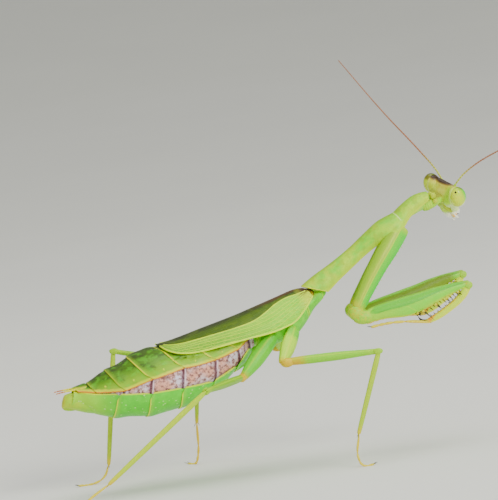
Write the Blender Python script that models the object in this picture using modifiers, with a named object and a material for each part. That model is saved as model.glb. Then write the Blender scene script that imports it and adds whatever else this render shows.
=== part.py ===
"""A gravid short-winged praying mantis at life size, standing with its forelegs folded.

Lengths are in millimetres and angles in degrees, and become metres when a mesh is made.
+X is forward, +Y is the animal's left and +Z is up. The origin ends under the middle of the box.
"""

import math

import bmesh
import bpy
from mathutils import Matrix, Vector

MM = 0.001
GAP = 0.3
UP = Vector((0, 0, 1))
SIDES = {"right": -1, "left": 1}

# Trunk: the middle line runs back from the neck to the tip of the abdomen.
PRONOTUM_FRONT = (25.6, 0, 33.85)
PRONOTUM_REAR = (7.0, 0, 23.05)
PRONOTUM_ARCH = 0.5
PRONOTUM_HALF_DEPTHS = ((0, 1.3), (0.25, 1.2), (0.5, 1.25), (0.62, 1.5), (0.8, 1.5), (1, 1.2))
PRONOTUM_HALF_WIDTHS = ((0, 1.9), (0.2, 1.5), (0.45, 1.5), (0.62, 2.2), (0.8, 1.9), (1, 1.4))
THROAT_SHARE = 0.84
THROAT_DROP = 0.7
THROAT_SPREAD = 0.12

THORAX_FRONT = (8.6, 0, 21.3)
THORAX_MIDDLE = (3.8, 0, 19.6)
THORAX_REAR = (-0.9, 0, 19.1)
THORAX_HALF_DEPTHS = ((0, 1.25), (0.4, 2.2), (0.75, 2.5), (1, 2.2))
THORAX_HALF_WIDTHS = ((0, 1.6), (0.4, 2.5), (0.75, 2.9), (1, 2.8))

ABDOMEN_LINE = ((-1.6, 0, 19.1), (-7.2, 0, 16.6), (-14.8, 0, 14.55), (-22.5, 0, 13.5),
                (-26.0, 0, 13.6))
ABDOMEN_HALF_DEPTHS = ((0, 2.2), (0.12, 3.1), (0.29, 4.15), (0.46, 4.6), (0.62, 4.3),
                       (0.78, 3.3), (1, 1.4))
ABDOMEN_HALF_WIDTHS = ((0, 2.7), (0.15, 4.2), (0.36, 5.6), (0.56, 5.9), (0.74, 4.9),
                       (0.9, 3.0), (1, 2.1))
ABDOMEN_SEGMENTS = 7
SEGMENT_STEP = 0.12
PLEURAL_DIP = 0.3
PLEURAL_LINE = 0.9

# Wings: two short covers on a roof over the thorax and the front half of the abdomen. Shares run
# from the wings' roots to their tips, and the reach says how far round the roof a wing goes.
WING_ROOT_X = 6.5
WING_TIP_X = -14.4
WING_THICKNESS = 0.5
WING_ROWS = 14
WING_COLUMNS = 7
ROOF_RIDGE = ((0, 23.6), (0.2, 22.9), (0.54, 21.4), (0.85, 20.2), (1, 19.35))
ROOF_EDGE_HEIGHTS = ((0, 22.3), (0.08, 21.1), (0.17, 20.2), (0.4, 18.95), (0.7, 17.95), (1, 17.9))
ROOF_HALF_WIDTHS = ((0, 2.0), (0.1, 3.0), (0.25, 4.2), (0.5, 5.1), (0.72, 5.3), (1, 5.1))
WING_REACH = ((0, 70), (0.1, 86), (0.82, 86), (0.92, 73), (0.97, 48), (1, 12))
TUCK_ROOM = WING_THICKNESS + GAP + 0.15
TUCK_BELOW_EDGE = 1.0
TUCK_END = 1.02
TUCK_FADE = 0.09
TUCK_LOWEST = 0.2

# Head: its own frame has x forward, y to its left and z up, with the origin between the eyes.
HEAD_CENTRE = (27.95, 0.95, 34.3)
HEAD_TURN = 20
HEAD_LIFT = 23
HEAD_TILT = 26
HEAD_TOP = 0.9
HEAD_BOTTOM = -3.1
HEAD_HALF_WIDTHS = ((0, 1.3), (0.12, 1.7), (0.4, 1.75), (0.65, 1.3), (1, 0.85))
HEAD_HALF_DEPTHS = ((0, 0.8), (0.3, 1.05), (0.6, 0.9), (1, 0.6))
EYE_CENTRE = (0.05, 2.65, 0.05)
EYE_RADII = (1.15, 1.05, 1.5)
EYE_INNER_FACE = 2.05
MOUTH_POINTS = ((0.25, 0, -3.4), (0.35, 0, -4.3), (0.55, 0, -5.1))
MOUTH_HALF_WIDTHS = ((0, 0.85), (0.5, 0.75), (1, 0.45))
MOUTH_HALF_DEPTHS = ((0, 0.65), (0.5, 0.6), (1, 0.4))

FEELER_RADIUS = 0.25
FEELER_ROOT = (0.95, 0.65, 0.35)
FEELER_ROUTES = {"left": ((25.9, 3.5, 39.9), (22.1, 6.5, 45.7), (17.7, 11.5, 53.6)),
                 "right": ((30.7, -0.2, 36.3), (34.8, -3.6, 38.6), (42.0, -12.0, 41.5))}

NECK_LINE = ((26.07, 0.08, 33.98), (26.88, 0.38, 33.93))
NECK_RADIUS = 0.65

# Limbs: each piece starts at a point and runs on in steps of (length, heading, pitch). A heading
# turns from +X towards +Y, and a pitch is above the floor. A pair of halves is width then depth.
FORE_COXA = {"right": ((20.45, -2.45, 29.4), ((11.35, -172, -51),)),
             "left": ((20.55, 2.45, 29.5), ((11.15, 169, -52),))}
FORE_FEMUR = {"right": ((12.5, -3.6, 18.95), ((1.5, 0, 5), (14.9, 0, 8.5))),
              "left": ((13.0, 3.5, 19.1), ((1.5, 0, 8), (14.9, -1, 11.5)))}
FORE_TIBIA = {"right": ((28.35, -3.6, 20.1), ((1.0, 180, -52), (4.3, 180, -31), (1.4, 180, -12))),
              "left": ((28.9, 3.45, 20.9), ((1.0, 180, -52), (4.3, 180, -28), (1.4, 180, -9)))}
FORE_TARSUS = {"right": ((22.9, -4.45, 16.95), ((3.6, 182, 11), (5.2, 180, -2))),
               "left": ((23.5, 4.4, 17.6), ((3.6, 178, 12), (5.2, 180, 1)))}
# Walking legs run from joint to joint: the hip, then coxa, femur and tibia, then the foot's steps.
WALKING_LEGS = {
    "mid_right": ((3.7, -3.0, 17.9), (4.2, -133, -45.6), (13.1, -19.4, 0.4), (11.3, 180, -68.6),
                  ((3.5, 185, -83), (0.9, -10, -52), (1.5, -5, 0))),
    "mid_left": ((3.5, 2.9, 18.4), (4.2, 90, -37), (13.4, 139.3, 6), (11.6, 118.6, -77.5),
                 ((5.1, 118, -80), (0.7, 125, -35), (1.5, 135, 0))),
    "hind_right": ((0.5, -2.7, 17.5), (6.0, -157, -40), (16.1, -116.6, 1.7), (17.3, 180, -35.5),
                   ((2.9, 181, -29), (2.7, 182, -33), (0.8, 183, -14), (1.4, 183, 0))),
    "hind_left": ((0.5, 2.7, 17.5), (5.9, 156, -37), (17.1, 153.9, 13.9), (15.8, 159, -79.8),
                  ((1.9, 170, -62), (1.6, 175, -12), (2.2, 178, 0))),
}
FOOT_AXIS_HEIGHT = 0.15

FORE_COXA_HALVES = (((0, 0.9), (0.4, 1.05), (1, 0.85)), ((0, 1.05), (0.35, 1.25), (1, 1.0)))
FORE_FEMUR_HALVES = (((0, 0.8), (0.5, 0.85), (1, 0.65)),
                     ((0, 1.05), (0.25, 1.25), (0.5, 1.6), (0.75, 1.0), (1, 0.85)))
FORE_TIBIA_HALVES = (((0, 0.5), (1, 0.4)), ((0, 0.55), (0.5, 0.6), (1, 0.35)))
MID_COXA_HALVES = (((0, 1.0), (1, 0.75)), ((0, 1.25), (0.4, 1.1), (1, 0.7)))
HIND_COXA_HALVES = (((0, 1.0), (1, 0.8)), ((0, 1.15), (1, 0.9)))
THIGH_RADII = {"mid": 0.62, "hind": 0.7}
SHIN = ((0, 0.4), (1, 0.31))
TARSUS_RADIUS = 0.28
JOINT_ROOM = 0.8

# Spines of the grasping forelegs: share along the femur, length, and lean towards the knee.
FEMUR_SPINES = ((0.44, 1.9, 25), (0.56, 0.6, 15), (0.65, 0.6, 15), (0.74, 0.6, 15), (0.83, 0.6, 15))
SPINE_RADIUS = 0.26
SPINE_SIDES = 6
SPINE_ROOT_DEPTH = 0.35
SPINE_OFFSET = 0.3

# Tail: the last plate and the two short feelers above it.
TAIL_PLATE = ((-26.3, 0, 13.25), (-28.4, 0, 13.3))
TAIL_PLATE_HALVES = (((0, 1.8), (1, 1.0)), ((0, 1.1), (1, 0.95)))
CERCUS_ROOT = (-26.25, 1.0, 14.8)
CERCUS_AIM = (2.5, 172, 4)
CERCUS_RADIUS = 0.26


def paint(name, colour, roughness=0.4):
    """A plain finish for one sub-part."""
    material = bpy.data.materials.new(name)
    material.use_nodes = True
    shader = material.node_tree.nodes["Principled BSDF"]
    shader.inputs["Base Color"].default_value = (*colour, 1)
    shader.inputs["Roughness"].default_value = roughness
    shader.inputs["Metallic"].default_value = 0
    return material


def read(table, share):
    """The value at a share of the length, eased between a table's (share, value) pairs."""
    if share <= table[0][0]:
        return table[0][1]
    for (low, low_value), (high, high_value) in zip(table, table[1:]):
        if share <= high:
            ease = (share - low) / (high - low)
            return low_value + (high_value - low_value) * ease * ease * (3 - 2 * ease)
    return table[-1][1]


class Route:
    """A smooth line through a few points, read by the share of its length."""

    STEPS = 20

    def __init__(self, points):
        knots = [Vector(point) for point in points]
        first = knots[0] * 2 - knots[1]
        last = knots[-1] * 2 - knots[-2]
        knots = [first, *knots, last]
        self.points = [knots[1]]
        for before, start, end, after in zip(knots, knots[1:], knots[2:], knots[3:]):
            for step in range(1, self.STEPS + 1):
                self.points.append(self.between(before, start, end, after, step / self.STEPS))
        self.runs = [0.0]
        for start, end in zip(self.points, self.points[1:]):
            self.runs.append(self.runs[-1] + (end - start).length)

    @staticmethod
    def between(before, start, end, after, t):
        """A Catmull-Rom curve from start to end."""
        straight = 2 * start + (end - before) * t
        bend = (2 * before - 5 * start + 4 * end - after) * t * t
        turn = (3 * start - before - 3 * end + after) * t ** 3
        return (straight + bend + turn) / 2

    def at(self, share):
        """The point and the direction at a share of the length."""
        run = share * self.runs[-1]
        index = 0
        while index < len(self.runs) - 2 and self.runs[index + 1] < run:
            index += 1
        start, end = self.points[index], self.points[index + 1]
        step = (run - self.runs[index]) / (self.runs[index + 1] - self.runs[index])
        return start.lerp(end, step), (end - start).normalized()


def superellipse(angle, power):
    """A point of a unit oval, squarer for a power above 2."""
    across, rise = math.cos(angle), math.sin(angle)
    across = math.copysign(abs(across) ** (2 / power), across)
    rise = math.copysign(abs(rise) ** (2 / power), rise)
    return across, rise


def ringed(name, rings, sides, place, material, turn=None):
    """A sphere whose ring k of `rings` goes to place(k, angle), with poles at k = 0 and rings + 1."""
    shape = bmesh.new()
    bmesh.ops.create_uvsphere(shape, u_segments=sides, v_segments=rings + 1, radius=1)
    for vertex in shape.verts:
        ring = round(math.acos(max(-1.0, min(1.0, vertex.co.z))) / math.pi * (rings + 1))
        angle = math.atan2(vertex.co.y, vertex.co.x)
        point = place(ring, angle)
        vertex.co = (turn @ point if turn else point) * MM
    if shape.calc_volume(signed=True) < 0:
        bmesh.ops.reverse_faces(shape, faces=shape.faces)
    mesh = bpy.data.meshes.new(name)
    shape.to_mesh(mesh)
    shape.free()
    mesh.shade_smooth()
    mesh.materials.append(material)
    body = bpy.data.objects.new(name, mesh)
    PARTS.objects.link(body)
    return body


def station(route, ring, rings, blunt):
    """Where a ring sits on its line: its point, direction, share of the length and swell."""
    share = ring / (rings + 1)
    run = 0.5 - 0.5 * math.cos(math.pi * share)
    swell = math.sin(math.pi * share) ** blunt if 0 < ring <= rings else 0.0
    point, along = route.at(run)
    return point, along, run, swell


def across_line(along, up):
    """The side and the top directions square to a line."""
    side = along.cross(up).normalized()
    return side, side.cross(along)


def limb(name, points, half_widths, half_depths, material, sides=8, rings=10, blunt=0.4,
         power=2.0, up=UP, turn=None, floor=False):
    """A closed body along a line, with an oval section and rounded ends."""
    route = Route(points)

    def place(ring, angle):
        point, along, run, swell = station(route, ring, rings, blunt)
        side, top = across_line(along, up)
        across, rise = superellipse(angle, power)
        point = point + side * across * read(half_widths, run) * swell
        point = point + top * rise * read(half_depths, run) * swell
        if floor:
            point.z = max(point.z, 0.0)
        return point

    return ringed(name, rings, sides, place, material, turn)


def even(value):
    """A table that holds one value all along."""
    return ((0, value), (1, value))


def heading_vector(heading, pitch):
    """A unit vector from a heading about +Z and a pitch above the floor."""
    flat = math.cos(math.radians(pitch))
    return Vector((
        flat * math.cos(math.radians(heading)),
        flat * math.sin(math.radians(heading)),
        math.sin(math.radians(pitch)),
    ))


def chain(start, steps):
    """The points from a start through steps of (length, heading, pitch)."""
    points = [Vector(start)]
    for length, heading, pitch in steps:
        points.append(points[-1] + heading_vector(heading, pitch) * length)
    return points


def wing_share(x):
    """How far x is from the wing's root to its tip, from 0 to 1."""
    return (x - WING_ROOT_X) / (WING_TIP_X - WING_ROOT_X)


def roof(share, room=0.0):
    """The roof's edge height, half width and rise at a share of the wings' length."""
    share = min(max(share, 0), 1)
    edge = read(ROOF_EDGE_HEIGHTS, share)
    return edge, read(ROOF_HALF_WIDTHS, share) - room, read(ROOF_RIDGE, share) - edge - room


def tuck_under_wings(point):
    """Move a point of the trunk in, to clear the wings that roof it."""
    share = wing_share(point.x)
    fade = min(max((share - TUCK_END) / TUCK_FADE, 0), 1)
    edge, wide, tall = roof(share, TUCK_ROOM)
    if fade == 1 or share < 0 or point.z < edge - TUCK_BELOW_EDGE:
        return point
    rise = max(point.z - edge, 0)
    reach = math.hypot(point.y / wide, rise / max(tall, TUCK_LOWEST))
    if reach <= 1:
        return point
    tucked = Vector((point.x, point.y / reach, edge + rise / reach if rise else point.z))
    return tucked.lerp(point, fade)


def add_prothorax():
    """The long pronotum with its swelling over the forelegs."""
    rear, front = Vector(PRONOTUM_REAR), Vector(PRONOTUM_FRONT)
    arch = (front - rear).cross(Vector((0, -1, 0))).normalized() * -PRONOTUM_ARCH
    route = Route((rear, rear.lerp(front, 0.5) + arch, front))
    rings = 18

    def place(ring, angle):
        point, along, run, swell = station(route, ring, rings, 0.3)
        side, top = across_line(along, UP)
        across, rise = superellipse(angle, 2.2)
        nearness = math.exp(-((run - THROAT_SHARE) / THROAT_SPREAD) ** 2)
        throat = THROAT_DROP * max(0.0, -rise) * nearness
        point = point + side * across * read(PRONOTUM_HALF_WIDTHS, run) * swell
        return point + top * (rise * read(PRONOTUM_HALF_DEPTHS, run) - throat) * swell

    ringed("prothorax", rings, 16, place, SHELL)


def add_thorax():
    """The wing-bearing thorax between the pronotum and the abdomen."""
    route = Route((THORAX_FRONT, THORAX_MIDDLE, THORAX_REAR))
    rings = 9

    def place(ring, angle):
        point, along, run, swell = station(route, ring, rings, 0.3)
        side, top = across_line(along, UP)
        across, rise = superellipse(angle, 2.3)
        point = point + side * across * read(THORAX_HALF_WIDTHS, run) * swell
        point = point + top * rise * read(THORAX_HALF_DEPTHS, run) * swell
        return tuck_under_wings(point)

    ringed("thorax", rings, 16, place, SHELL)


def add_abdomen():
    """The heavy abdomen, a little stepped at each plate and dipped along its sides."""
    route = Route(ABDOMEN_LINE)
    rings = ABDOMEN_SEGMENTS * 3

    def place(ring, angle):
        segment, part = divmod(max(ring - 1, 0), 3)
        run = min((segment + (0, 0.5, 0.97)[part]) / ABDOMEN_SEGMENTS, 1)
        step = SEGMENT_STEP * (-1, 0, 1)[part]
        inside = 1 if 0 < ring <= rings else 0
        if ring > rings:
            run = 1
        point, along = route.at(run)
        side, top = across_line(along, UP)
        across, rise = superellipse(angle, 2.2)
        flank = max(0.0, abs(math.cos(angle)) - PLEURAL_LINE) / (1 - PLEURAL_LINE)
        flank = flank * PLEURAL_DIP * math.sin(math.pi * run)
        point = point + side * across * (read(ABDOMEN_HALF_WIDTHS, run) + step - flank) * inside
        point = point + top * rise * (read(ABDOMEN_HALF_DEPTHS, run) + step) * inside
        return tuck_under_wings(point)

    ringed("abdomen", rings, 24, place, BELLY)


def add_wing(side_name, hand):
    """One wing cover: a curved sheet over the back, thickened inwards."""
    shape = bmesh.new()
    bmesh.ops.create_grid(shape, x_segments=WING_ROWS, y_segments=WING_COLUMNS, size=1)
    for vertex in shape.verts:
        share = 0.5 + vertex.co.x / 2
        edge, wide, tall = roof(share)
        start = math.asin(GAP * 0.8 / wide)
        sweep = start + (math.radians(read(WING_REACH, share)) - start) * (0.5 + vertex.co.y / 2)
        x = WING_ROOT_X + (WING_TIP_X - WING_ROOT_X) * share
        point = Vector((x, hand * wide * math.sin(sweep), edge + tall * math.cos(sweep)))
        vertex.co = point * MM
    bmesh.ops.recalc_face_normals(shape, faces=shape.faces)
    if sum(face.normal.z for face in shape.faces) < 0:
        bmesh.ops.reverse_faces(shape, faces=shape.faces)
    mesh = bpy.data.meshes.new("forewing_" + side_name)
    shape.to_mesh(mesh)
    shape.free()
    mesh.shade_smooth()
    mesh.materials.append(WING)
    wing = bpy.data.objects.new("forewing_" + side_name, mesh)
    PARTS.objects.link(wing)
    solid = wing.modifiers.new("thickness", "SOLIDIFY")
    solid.thickness = WING_THICKNESS * MM
    solid.offset = -1


def head_frame():
    """The head's place and turn in the animal's frame, still in millimetres."""
    turn = Matrix.Rotation(math.radians(HEAD_TURN), 4, "Z")
    lift = Matrix.Rotation(math.radians(-HEAD_LIFT), 4, "Y")
    tilt = Matrix.Rotation(math.radians(HEAD_TILT), 4, "X")
    return Matrix.Translation(Vector(HEAD_CENTRE)) @ turn @ lift @ tilt


def add_head():
    """A three-cornered head with two big eyes, mouthparts, feelers and the neck behind it."""
    frame = head_frame()
    limb("head", ((0, 0, HEAD_TOP), (0.05, 0, -1), (0.2, 0, HEAD_BOTTOM)), HEAD_HALF_WIDTHS,
         HEAD_HALF_DEPTHS, SHELL, sides=16, rings=12, blunt=0.35, power=2.5, up=Vector((1, 0, 0)),
         turn=frame)
    limb("mouthparts", MOUTH_POINTS, MOUTH_HALF_WIDTHS, MOUTH_HALF_DEPTHS, MOUTH, sides=12,
         rings=7, blunt=0.4, power=2.4, up=Vector((1, 0, 0)), turn=frame)
    for side_name, hand in SIDES.items():
        centre = Vector(EYE_CENTRE)
        rings = 8

        def place(ring, angle):
            polar = math.pi * ring / (rings + 1)
            out = centre.y + EYE_RADII[1] * math.cos(polar)
            x = centre.x + EYE_RADII[0] * math.sin(polar) * math.cos(angle)
            z = centre.z + EYE_RADII[2] * math.sin(polar) * math.sin(angle)
            return Vector((x, hand * max(out, EYE_INNER_FACE), z))

        ringed("eye_" + side_name, rings, 16, place, EYE, frame)


def add_neck():
    """The short soft neck between the pronotum and the back of the head."""
    limb("neck", NECK_LINE, even(NECK_RADIUS), even(NECK_RADIUS), JOINT, sides=12, rings=6,
         blunt=0.3)


def add_feelers():
    """Two long thread-like feelers that sweep up from the face."""
    frame = head_frame()
    for side_name, hand in SIDES.items():
        root = frame @ Vector((FEELER_ROOT[0] + GAP, hand * FEELER_ROOT[1], FEELER_ROOT[2]))
        points = (root, *FEELER_ROUTES[side_name])
        limb("antenna_" + side_name, points, even(FEELER_RADIUS), even(FEELER_RADIUS), FEELER,
             sides=6, rings=22, blunt=0.15, up=Vector((0, 1, 0)))


def add_spines(femur, points, hand):
    """Join a row of spines to the underside of a grasping femur."""
    route = Route(points)
    shape = bmesh.new()
    for share, length, lean in FEMUR_SPINES:
        point, along = route.at(share)
        down = along.cross(Vector((0, 1, 0))).normalized()
        if down.z > 0:
            down.negate()
        aim = Matrix.Rotation(math.radians(-lean), 3, "Y") @ down
        root = point + down * (read(FORE_FEMUR_HALVES[1], share) - SPINE_ROOT_DEPTH)
        root.y += hand * SPINE_OFFSET
        reach = length + SPINE_ROOT_DEPTH
        turn = aim.to_track_quat("Z", "Y").to_matrix().to_4x4()
        place = Matrix.Translation((root + aim * reach / 2) * MM) @ turn
        bmesh.ops.create_cone(shape, cap_ends=True, segments=SPINE_SIDES,
                              radius1=SPINE_RADIUS * MM, radius2=SPINE_RADIUS * 0.3 * MM,
                              depth=reach * MM, matrix=place)
    mesh = bpy.data.meshes.new(femur.name + "_spines")
    shape.to_mesh(mesh)
    shape.free()
    spines = bpy.data.objects.new(femur.name + "_spines", mesh)
    TOOLS.objects.link(spines)
    spines.hide_render = True
    spines.display_type = "WIRE"
    union = femur.modifiers.new("spines", "BOOLEAN")
    union.operation = "UNION"
    union.object = spines


def add_forelegs():
    """The folded grasping legs."""
    for side_name, hand in SIDES.items():
        limb("fore_coxa_" + side_name, chain(*FORE_COXA[side_name]), *FORE_COXA_HALVES, LEG,
             sides=12, rings=10, blunt=0.35, power=2.3, up=Vector((1, 0, 1)))
        points = chain(*FORE_FEMUR[side_name])
        femur = limb("fore_femur_" + side_name, points, *FORE_FEMUR_HALVES, LEG, sides=12, rings=14,
                     blunt=0.4, power=2.2)
        add_spines(femur, points, hand)
        limb("fore_tibia_" + side_name, chain(*FORE_TIBIA[side_name]), *FORE_TIBIA_HALVES, CREAM,
             sides=8, rings=10, blunt=0.35)
        limb("fore_tarsus_" + side_name, chain(*FORE_TARSUS[side_name]), even(TARSUS_RADIUS),
             even(TARSUS_RADIUS), CREAM, sides=8, rings=10, blunt=0.3)


def beyond_joint(joint, before, after, radius):
    """Where a piece starts, clear of the rounded end of the piece before it."""
    return joint + after * (GAP + radius * JOINT_ROOM * (1 - before.dot(after)))


def add_walking_legs():
    """The middle and hind legs, whose feet end flat on the floor."""
    for leg, (hip, coxa, femur, tibia, foot) in WALKING_LEGS.items():
        pair, side_name = leg.split("_")
        coxa_halves = {"mid": MID_COXA_HALVES, "hind": HIND_COXA_HALVES}[pair]
        thigh_radius = THIGH_RADII[pair]
        thigh = ((0, thigh_radius), (0.5, thigh_radius * 0.9), (1, thigh_radius * 0.78))
        joints = chain(hip, (coxa, femur, tibia))
        aims = [heading_vector(heading, pitch) for _, heading, pitch in (coxa, femur, tibia)]
        limb(f"{pair}_coxa_{side_name}", joints[:2], *coxa_halves, LEG, sides=12, rings=8,
             blunt=0.4, up=Vector((1, 0, 1)))
        start = beyond_joint(joints[1], aims[0], aims[1], coxa_halves[1][-1][1] * 0.8)
        limb(f"{pair}_femur_{side_name}", (start, joints[2]), thigh, thigh, LEG, sides=10,
             rings=10, blunt=0.25)
        start = beyond_joint(joints[2], aims[1], aims[2], thigh[-1][1] * 0.9)
        limb(f"{pair}_tibia_{side_name}", (start, joints[3]), SHIN, SHIN, LEG, sides=8, rings=8,
             blunt=0.2, up=Vector((1, 0, 0)))
        points = chain(joints[3] + aims[2] * GAP, foot)
        for point in points[-2:]:
            point.z = FOOT_AXIS_HEIGHT
        limb(f"{pair}_tarsus_{side_name}", points, even(TARSUS_RADIUS), even(TARSUS_RADIUS), CREAM,
             sides=8, rings=12, blunt=0.3, up=Vector((0.05, 1, 0)), floor=True)


def add_tail():
    """The last plate of the abdomen and the pair of cerci."""
    limb("tail_plate", TAIL_PLATE, *TAIL_PLATE_HALVES, BELLY, sides=12, rings=6, blunt=0.3)
    length, heading, pitch = CERCUS_AIM
    for side_name, hand in SIDES.items():
        root = Vector((CERCUS_ROOT[0], CERCUS_ROOT[1] * hand, CERCUS_ROOT[2]))
        points = chain(root, ((length, heading * hand, pitch),))
        limb("cercus_" + side_name, points, even(CERCUS_RADIUS), even(CERCUS_RADIUS), CREAM,
             sides=8, rings=6, blunt=0.35)


def stand_on_origin():
    """Move every piece so that the box's lowest middle point is the origin."""
    view = bpy.context.evaluated_depsgraph_get()
    corners = []
    for part in PARTS.objects:
        corners += [part.matrix_world @ vertex.co for vertex in part.evaluated_get(view).data.vertices]
    low = [min(corner[axis] for corner in corners) for axis in range(3)]
    high = [max(corner[axis] for corner in corners) for axis in range(3)]
    middle = Vector(((low[0] + high[0]) / 2, (low[1] + high[1]) / 2, low[2]))
    for part in (*PARTS.objects, *TOOLS.objects):
        part.location -= middle


def remove_everything():
    """Clear the scene that Blender opens with."""
    for item in list(bpy.data.objects):
        bpy.data.objects.remove(item, do_unlink=True)


remove_everything()
PARTS = bpy.data.collections.new("praying_mantis")
bpy.context.scene.collection.children.link(PARTS)
TOOLS = bpy.data.collections.new("joined_shapes")
bpy.context.scene.collection.children.link(TOOLS)
SHELL = paint("pale_green_shell", (0.36, 0.55, 0.16))
BELLY = paint("green_belly", (0.20, 0.42, 0.08))
WING = paint("leaf_green_wing", (0.28, 0.50, 0.05), 0.5)
MOUTH = paint("cream_mouthparts", (0.80, 0.75, 0.50))
EYE = paint("yellow_green_eye", (0.60, 0.65, 0.10), 0.15)
JOINT = paint("soft_yellow_joint", (0.62, 0.60, 0.20), 0.6)
FEELER = paint("brown_feeler", (0.35, 0.22, 0.10))
LEG = paint("green_leg", (0.38, 0.56, 0.10))
CREAM = paint("cream_foot", (0.70, 0.62, 0.35))

add_prothorax()
add_thorax()
add_abdomen()
for wing_side, wing_hand in SIDES.items():
    add_wing(wing_side, wing_hand)
add_head()
add_neck()
add_feelers()
add_forelegs()
add_walking_legs()
add_tail()
stand_on_origin()
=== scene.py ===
"""A praying mantis at life size: shell plates, wing covers, joint skin, spines and feelers.

Shapes are drawn in millimetres, from the same design zero as the solids, and are brought to
metres when a piece is settled. +X is forward, +Y is the animal's left and +Z is up.
"""

import math

import bmesh
import bpy
from mathutils import Matrix, Vector


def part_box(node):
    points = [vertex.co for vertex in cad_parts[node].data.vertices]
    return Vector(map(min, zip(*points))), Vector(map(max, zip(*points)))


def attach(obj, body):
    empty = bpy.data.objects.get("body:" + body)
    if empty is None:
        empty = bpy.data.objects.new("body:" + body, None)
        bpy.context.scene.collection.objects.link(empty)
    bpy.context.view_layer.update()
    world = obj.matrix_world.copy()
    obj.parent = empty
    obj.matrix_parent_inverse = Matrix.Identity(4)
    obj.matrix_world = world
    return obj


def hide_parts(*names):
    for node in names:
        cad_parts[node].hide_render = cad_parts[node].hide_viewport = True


bl_info = {
    "name": "Praying mantis dresser",
    "version": (1, 0, 0),
    "blender": (4, 5, 0),
    "location": "View3D > Sidebar > Mantis",
    "description": "Builds the shell plates, wings, limbs and head of a life-size mantis",
    "category": "Add Mesh",
}

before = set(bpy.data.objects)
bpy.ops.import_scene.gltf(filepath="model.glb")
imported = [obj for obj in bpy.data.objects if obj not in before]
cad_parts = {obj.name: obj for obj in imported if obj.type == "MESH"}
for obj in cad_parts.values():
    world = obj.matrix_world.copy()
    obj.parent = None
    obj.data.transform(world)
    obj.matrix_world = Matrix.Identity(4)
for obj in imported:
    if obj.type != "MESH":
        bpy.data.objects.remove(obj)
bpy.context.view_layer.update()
BODY = "root"
MM = 0.001
UP = Vector((0, 0, 1))
SIDES = {"right": -1, "left": 1}
HANDS = (-1, 1)

# ---------------------------------------------------------------- trunk, in millimetres
PROTHORAX_LINE = ((7.0, 0, 23.05), (25.6, 0, 33.85))
PRONOTUM_TOP = ((-0.6, 1.3), (2.2, 1.4), (5.2, 1.28), (8.4, 1.34), (10.6, 1.56), (12.8, 1.76),
                (13.7, 1.8), (14.9, 1.62), (16.1, 1.44), (17.9, 1.56), (19.5, 1.58), (20.8, 1.2),
                (21.8, 0.65))
PRONOTUM_MARGIN = ((-0.6, -1.55), (2.4, -1.45), (4.4, -1.16), (6.4, -0.98), (8.0, -0.83),
                   (9.7, -0.69), (11.3, -0.65), (12.3, -0.72), (13.3, -0.95), (14.4, -1.1),
                   (15.4, -1.1), (16.4, -0.78), (17.5, -0.42), (19.0, -0.3), (21.8, -0.2))
PRONOTUM_HALF = ((-0.6, 1.95), (4.3, 1.5), (9.7, 1.42), (13.3, 2.2), (15.0, 2.3), (17.2, 1.8),
                 (21.8, 1.3))
THROAT_UNDER = ((-1.6, -1.1), (2.4, -1.2), (9.7, -0.5), (12.3, -0.5), (14.4, -0.9), (16.4, -0.95),
                (17.6, -0.66), (18.9, -0.9), (20.2, -1.2), (22.2, -1.25))
PRONOTUM_START = 1.2
PRONOTUM_LENGTH = 21.51
PRONOTUM_WALL = 0.16
FLARE_PLACE = 14.6
FLARE_REACH = 1.5
PRONOTUM_LEAN = 0.84
GROOVE_PLACE = 16.1

THORAX_LINE = ((9.6, 0, 23.3), (7.5, 0, 22.1), (4.2, 0, 19.9), (-0.9, 0, 19.1), (-2.4, 0, 18.7))
THORAX_DEPTHS = ((0, 0.8), (0.2, 1.0), (0.35, 1.4), (0.52, 2.2), (0.8, 2.45), (1, 2.2))
THORAX_WIDTHS = ((0, 0.9), (0.2, 1.7), (0.5, 2.6), (0.8, 2.9), (1, 2.8))
SIDE_PLATE_WALL = 0.12
# Where each side plate begins and ends along the thorax.
THORAX_CUTS = ((1.0, 4.0), (4.12, 7.0), (7.12, 9.3), (9.42, 11.6), (11.72, 13.7))

ABDOMEN_LINE = ((-1.6, 0, 19.1), (-7.2, 0, 16.6), (-14.8, 0, 14.55), (-22.5, 0, 13.5),
                (-26.0, 0, 13.6))
ABDOMEN_DEPTHS = ((0, 2.2), (0.12, 3.1), (0.29, 4.15), (0.46, 4.6), (0.62, 4.3), (0.78, 3.3),
                  (1, 1.4))
ABDOMEN_WIDTHS = ((0, 2.7), (0.15, 4.2), (0.36, 5.6), (0.56, 5.9), (0.74, 4.9), (0.9, 3.0),
                  (1, 2.1))
ABDOMEN_LENGTH = 25.3
# Where the back plates and the belly plates meet along the flank, from the front.
BACK_JOINTS = (0.65, 2.65, 6.15, 10.6, 15.15, 19.05, 22.9, 25.3)
BELLY_JOINTS = (1.2, 4.0, 7.6, 11.6, 15.8, 19.9, 25.4)
BACK_EDGE = ((0, -0.4), (0.1, -0.7), (0.2, -0.4), (0.32, 0.4), (0.42, 0.8), (0.6, 0.85),
             (0.75, 0.42), (0.82, 0.45), (0.9, 0.8), (1, 1.1))
BELLY_EDGE = ((0, -1.0), (0.1, -2.0), (0.18, -2.6), (0.32, -2.5), (0.46, -1.5), (0.63, -0.7),
              (0.72, -0.12), (0.785, 0.3), (0.9, 0.82), (1, 1.1))
FOLD_LEAN = 0.42
PLATE_WALL = 0.1
KEEL_LINE = ((-21.6, 0, 12.25), (-24.4, 0, 12.85), (-26.5, 0, 13.35), (-27.8, 0, 13.4))
CERCUS_JOINTS = 9

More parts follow.
